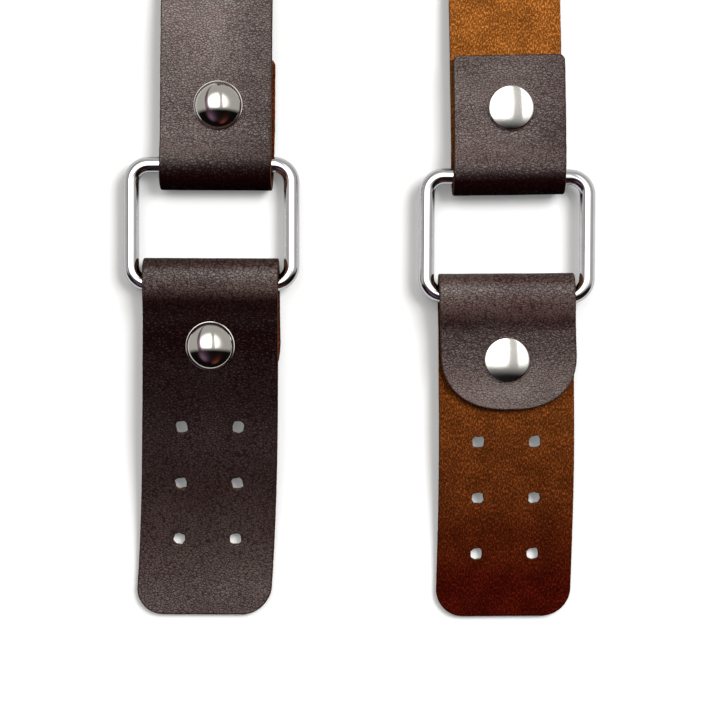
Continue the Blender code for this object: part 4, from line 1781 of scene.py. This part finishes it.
@dataclass
class Studio:
    """A pale table, an overhead bank of soft light that is open towards -Y, and the camera."""

    view_width: float = 160.7 * MM
    camera_height: float = 0.5
    sensor: float = 36.0
    aim_right: float = 0.22 * MM
    aim_down: float = 28.98 * MM
    table_half: float = 3.0
    table_drop: float = 0.02 * MM
    table_glow: float = 0.15
    backdrop: Colour = (0.93, 0.93, 0.93)
    bank: Glow = Glow(-0.08, 0.33, 0.42, 0.38)
    bank_power: float = 5.4
    room: float = 0.42
    dark: float = 0.004
    mullion: float = 0.94
    dark_spot: Glow = Glow(-0.26, 0.16, 0.045, 0.045)
    stand_lean: float = 0.3
    stand_offset: float = 0.98
    coloured: tuple[Glow, ...] = (
        Glow(-0.72, -1.15, 0.3, 0.5, (0.16, 0.085, 0.14)),
        Glow(0.7, -2.4, 0.35, 0.7, (0.14, 0.03, 0.02)),
    )
    lamp_offset: tuple[float, float, float] = (0.52, 0.34, 1.0)
    lamp_size: float = 0.5
    lamp_power: float = 22.5

    def aim(self) -> Vector:
        """The point in the middle of the view, set out from the two front rings' middles.

        Returns:
            The point, at the rings' height.
        """
        names = [f"{end}_{bar}" for end in ("left", "right") for bar in ("ring_in_strap", "tab_on_ring")]
        middle = sum((Vector(JOINTS[name]["pos_m"]) for name in names), Vector()) / len(names)
        return Vector((middle.x + self.aim_right, middle.y - self.aim_down, middle.z))

    def build_table(self) -> None:
        """A large pale square under everything."""
        size = self.table_half
        grid = np.array([(-size, -size, 0), (size, -size, 0), (size, size, 0), (-size, size, 0)])
        made, s, surface = new_material("pale table")
        place = s.node("TexCoord").outputs["Object"]
        shade = s.mix(s.noise(place, 3.0, 2.0), (0.43, 0.43, 0.43), (0.45, 0.45, 0.45))
        seen = s.node("LightPath").outputs["Is Camera Ray"]
        s.feed(surface.inputs["Base Color"], s.mix(seen, (0.3, 0.3, 0.3), shade))
        surface.inputs["Roughness"].default_value = 0.8
        surface.inputs["Specular IOR Level"].default_value = 0.0
        s.feed(surface.inputs["Emission Color"], (0.97, 0.99, 1.0))
        s.feed(surface.inputs["Emission Strength"], s.math("MULTIPLY", seen, self.table_glow))
        table = make_object("table", grid - [0, 0, self.table_drop], [[0, 1, 2, 3]], [made])

    @staticmethod
    def glow(s: Shader, px: Socket, py: Socket, spot: Glow) -> Socket:
        """A round glow exp(-(dx^2 + dy^2) / 2) on the overhead plane.

        Args:
            s: The world's Shader.
            px, py: Place on the overhead plane.
            spot: Where the glow is and how large.

        Returns:
            The glow, from 0 to 1.
        """
        dx = s.math("DIVIDE", s.math("SUBTRACT", px, spot.x), spot.wide)
        dy = s.math("DIVIDE", s.math("SUBTRACT", py, spot.y), spot.high)
        far = s.math("MULTIPLY_ADD", dx, dx, s.math("MULTIPLY", dy, dy))
        return s.math("EXPONENT", s.math("MULTIPLY", far, -0.5))

    def build_world(self) -> None:
        """Light by direction: a soft overhead bank with a gap, a dark front, and a pale horizon.

        Directions are read as p = (x, y) / z on a plane overhead. Towards -Y the room is dark, and
        a thin dark stand crosses the light on the left.
        """
        world = bpy.data.worlds.new("studio")
        world.use_nodes = True
        bpy.context.scene.world = world
        s = Shader(world.node_tree)
        x, y, z = s.node("SeparateXYZ", Vector=s.node("TexCoord").outputs["Generated"]).outputs
        up = s.math("MAXIMUM", z, 0.02)
        px, py = s.math("DIVIDE", x, up), s.math("DIVIDE", y, up)
        gap = s.math("MULTIPLY", s.step(px, -0.04, 0.16), s.step(px, 0.37, 0.3))
        open_share = s.math("MULTIPLY_ADD", gap, -self.mullion, 1.0)
        bank = s.math("MULTIPLY", self.glow(s, px, py, self.bank), open_share)
        bank = s.math("MULTIPLY", bank, s.step(y, -0.22, 0.0))
        lit = s.math("MULTIPLY_ADD", s.step(y, -0.36, -0.1), self.room, self.dark)
        lit = s.math("MULTIPLY_ADD", bank, self.bank_power, lit)
        dark_spot = self.glow(s, px, py, self.dark_spot)
        lit = s.math("MULTIPLY", lit, s.math("MULTIPLY_ADD", dark_spot, -0.93, 1.0))
        from_stand = s.math("ADD", px, s.math("MULTIPLY_ADD", py, self.stand_lean, self.stand_offset))
        stand = s.step(s.math("ABSOLUTE", from_stand), 0.34, 0.12)
        lit = s.math("MULTIPLY", lit, s.math("MULTIPLY_ADD", stand, -0.72, 1.0))
        light = s.scaled(s.mix(stand, (1.0, 0.985, 0.955), (1.0, 0.72, 0.9)), lit)
        for spot in self.coloured:
            light = s.vector("ADD", light, s.mix(self.glow(s, px, py, spot), (0, 0, 0), spot.tint))
        seen = s.node("LightPath").outputs["Is Camera Ray"]
        sky = s.node("Background", Color=s.mix(seen, light, self.backdrop), Strength=1.0)
        s.tree.links.new(sky.outputs[0], s.node("OutputWorld").inputs[0])

    def build_light(self) -> None:
        """One large soft light from the right, for the shadows' direction."""
        data = bpy.data.lights.new("soft key", "AREA")
        data.size = self.lamp_size
        data.energy = self.lamp_power
        lamp = bpy.data.objects.new("soft key", data)
        bpy.context.scene.collection.objects.link(lamp)
        aim = self.aim()
        lamp.location = aim + Vector(self.lamp_offset)
        lamp.visible_glossy = False
        lamp.rotation_euler = (aim - lamp.location).to_track_quat("-Z", "Y").to_euler()

    def build_camera(self) -> None:
        """Straight down over the two front ends."""
        data = bpy.data.cameras.new("overhead")
        data.sensor_width = self.sensor
        data.lens = data.sensor_width * self.camera_height / self.view_width
        camera = bpy.data.objects.new("overhead", data)
        bpy.context.scene.collection.objects.link(camera)
        camera.location = self.aim() + Vector((0, 0, self.camera_height))
        bpy.context.scene.camera = camera
        bpy.context.scene.view_settings.view_transform = "Standard"

    def build(self) -> None:
        """Sets up the table, the light and the camera."""
        self.build_table()
        self.build_world()
        self.build_light()
        self.build_camera()


def strap_fold(
    shift: float, lean: float, slack: float, flap: float, rivet: float, drop: float = 44.0
) -> FoldedEnd:
    """A strap's folded end, its lean in degrees and the rest in millimetres."""
    loop = 2.3 * MM
    return FoldedEnd(shift * MM, lean, slack * MM, flap * MM, rivet * MM, loop, drop * MM)


def tab_fold(shift: float, lean: float, slack: float, rivet: float) -> FoldedEnd:
    """A tab's folded end, its lean in degrees and the rest in millimetres."""
    flap, loop, drop = 25.5 * MM, 2.45 * MM, 40 * MM
    return FoldedEnd(shift * MM, lean, slack * MM, flap, rivet * MM, loop, drop)


def main() -> None:
    """Builds the suspenders and the studio."""
    logging.basicConfig(level=logging.INFO, format="%(name)s: %(message)s")
    looks = Looks()
    left = FrontEnd(
        "left",
        Side.GRAIN_UP,
        strap_fold(1.0, 0.4, 1.6, 23.8, 13.1),
        tab_fold(-0.1, 0.2, 1.4, 14.0),
        tab_length=74.3 * MM,
        tab_curl=4.3,
        looks=looks,
        first_row=32.0 * MM,
        rivet_aside=0.5 * MM,
        # Painted sheen and shade on the grain, and painted shade on the flesh in the folds, by millimetres
        # from each bar.
        strap_painted_light=((-5, 0.0), (-1.5, 0.05), (1.5, 0.7), (5, 0.8), (20, 0.9), (40, 0.95)),
        tab_painted_light=(
            *((-5, 0.45), (-2.5, 0.75), (0.5, 0.85), (4, 0.1)),
            *((12, 0.02), (24, 0.05), (38, 0.22), (72, 0.58)),
        ),
        strap_shade=((20, 0.85), (30, 0.2)),
        plan=[(41 * MM, 0), (110 * MM, 2.8), (346.6 * MM, 0)],
        twist=(78 * MM, 150 * MM),
    )
    right = FrontEnd(
        "right",
        Side.FLESH_UP,
        strap_fold(0.05, -0.9, 0.0, 27.0, 15.1),
        tab_fold(-0.1, -0.4, 0.7, 14.4),
        tab_length=71.9 * MM,
        tab_curl=2.7,
        looks=looks,
        first_row=32.6 * MM,
        rivet_aside=0.9 * MM,
        # Painted sheen and shade on the grain, and painted shade on the flesh in the folds, by millimetres
        # from each bar.
        strap_painted_light=((-5, 0.0), (-1, 0.05), (2.5, 0.8), (8, 0.9), (15, 0.85), (27, 0.7)),
        tab_painted_light=((-5, 0.75), (-2, 0.9), (1.5, 1.05), (6, 0.5), (9, 0.55), (14, 0.65), (22, 0.9)),
        strap_shade=((2, 0.75), (8, 0.3), (28, 0.0)),
        plan=[(42 * MM, 0), (110 * MM, -4.3), (345.4 * MM, 0)],
    )
    back = BackEnd(
        "back",
        Side.GRAIN_UP,
        strap_fold(0.2, 0.45, 0.9, 25.0, 14.4, 35.0),
        tab_fold(0.05, -0.4, 0.9, 14.3),
        tab_length=73.0 * MM,
        tab_curl=-1.0,
        looks=looks,
        rivet_aside=-0.2 * MM,
    )
    left.build(left.strap_lay(), 700)
    right.build(right.strap_lay(), 700)
    back.build(back.strap_lay(), 300)
    Yoke(looks).build()
    Studio().build()


if __name__ == "__main__":
    main()
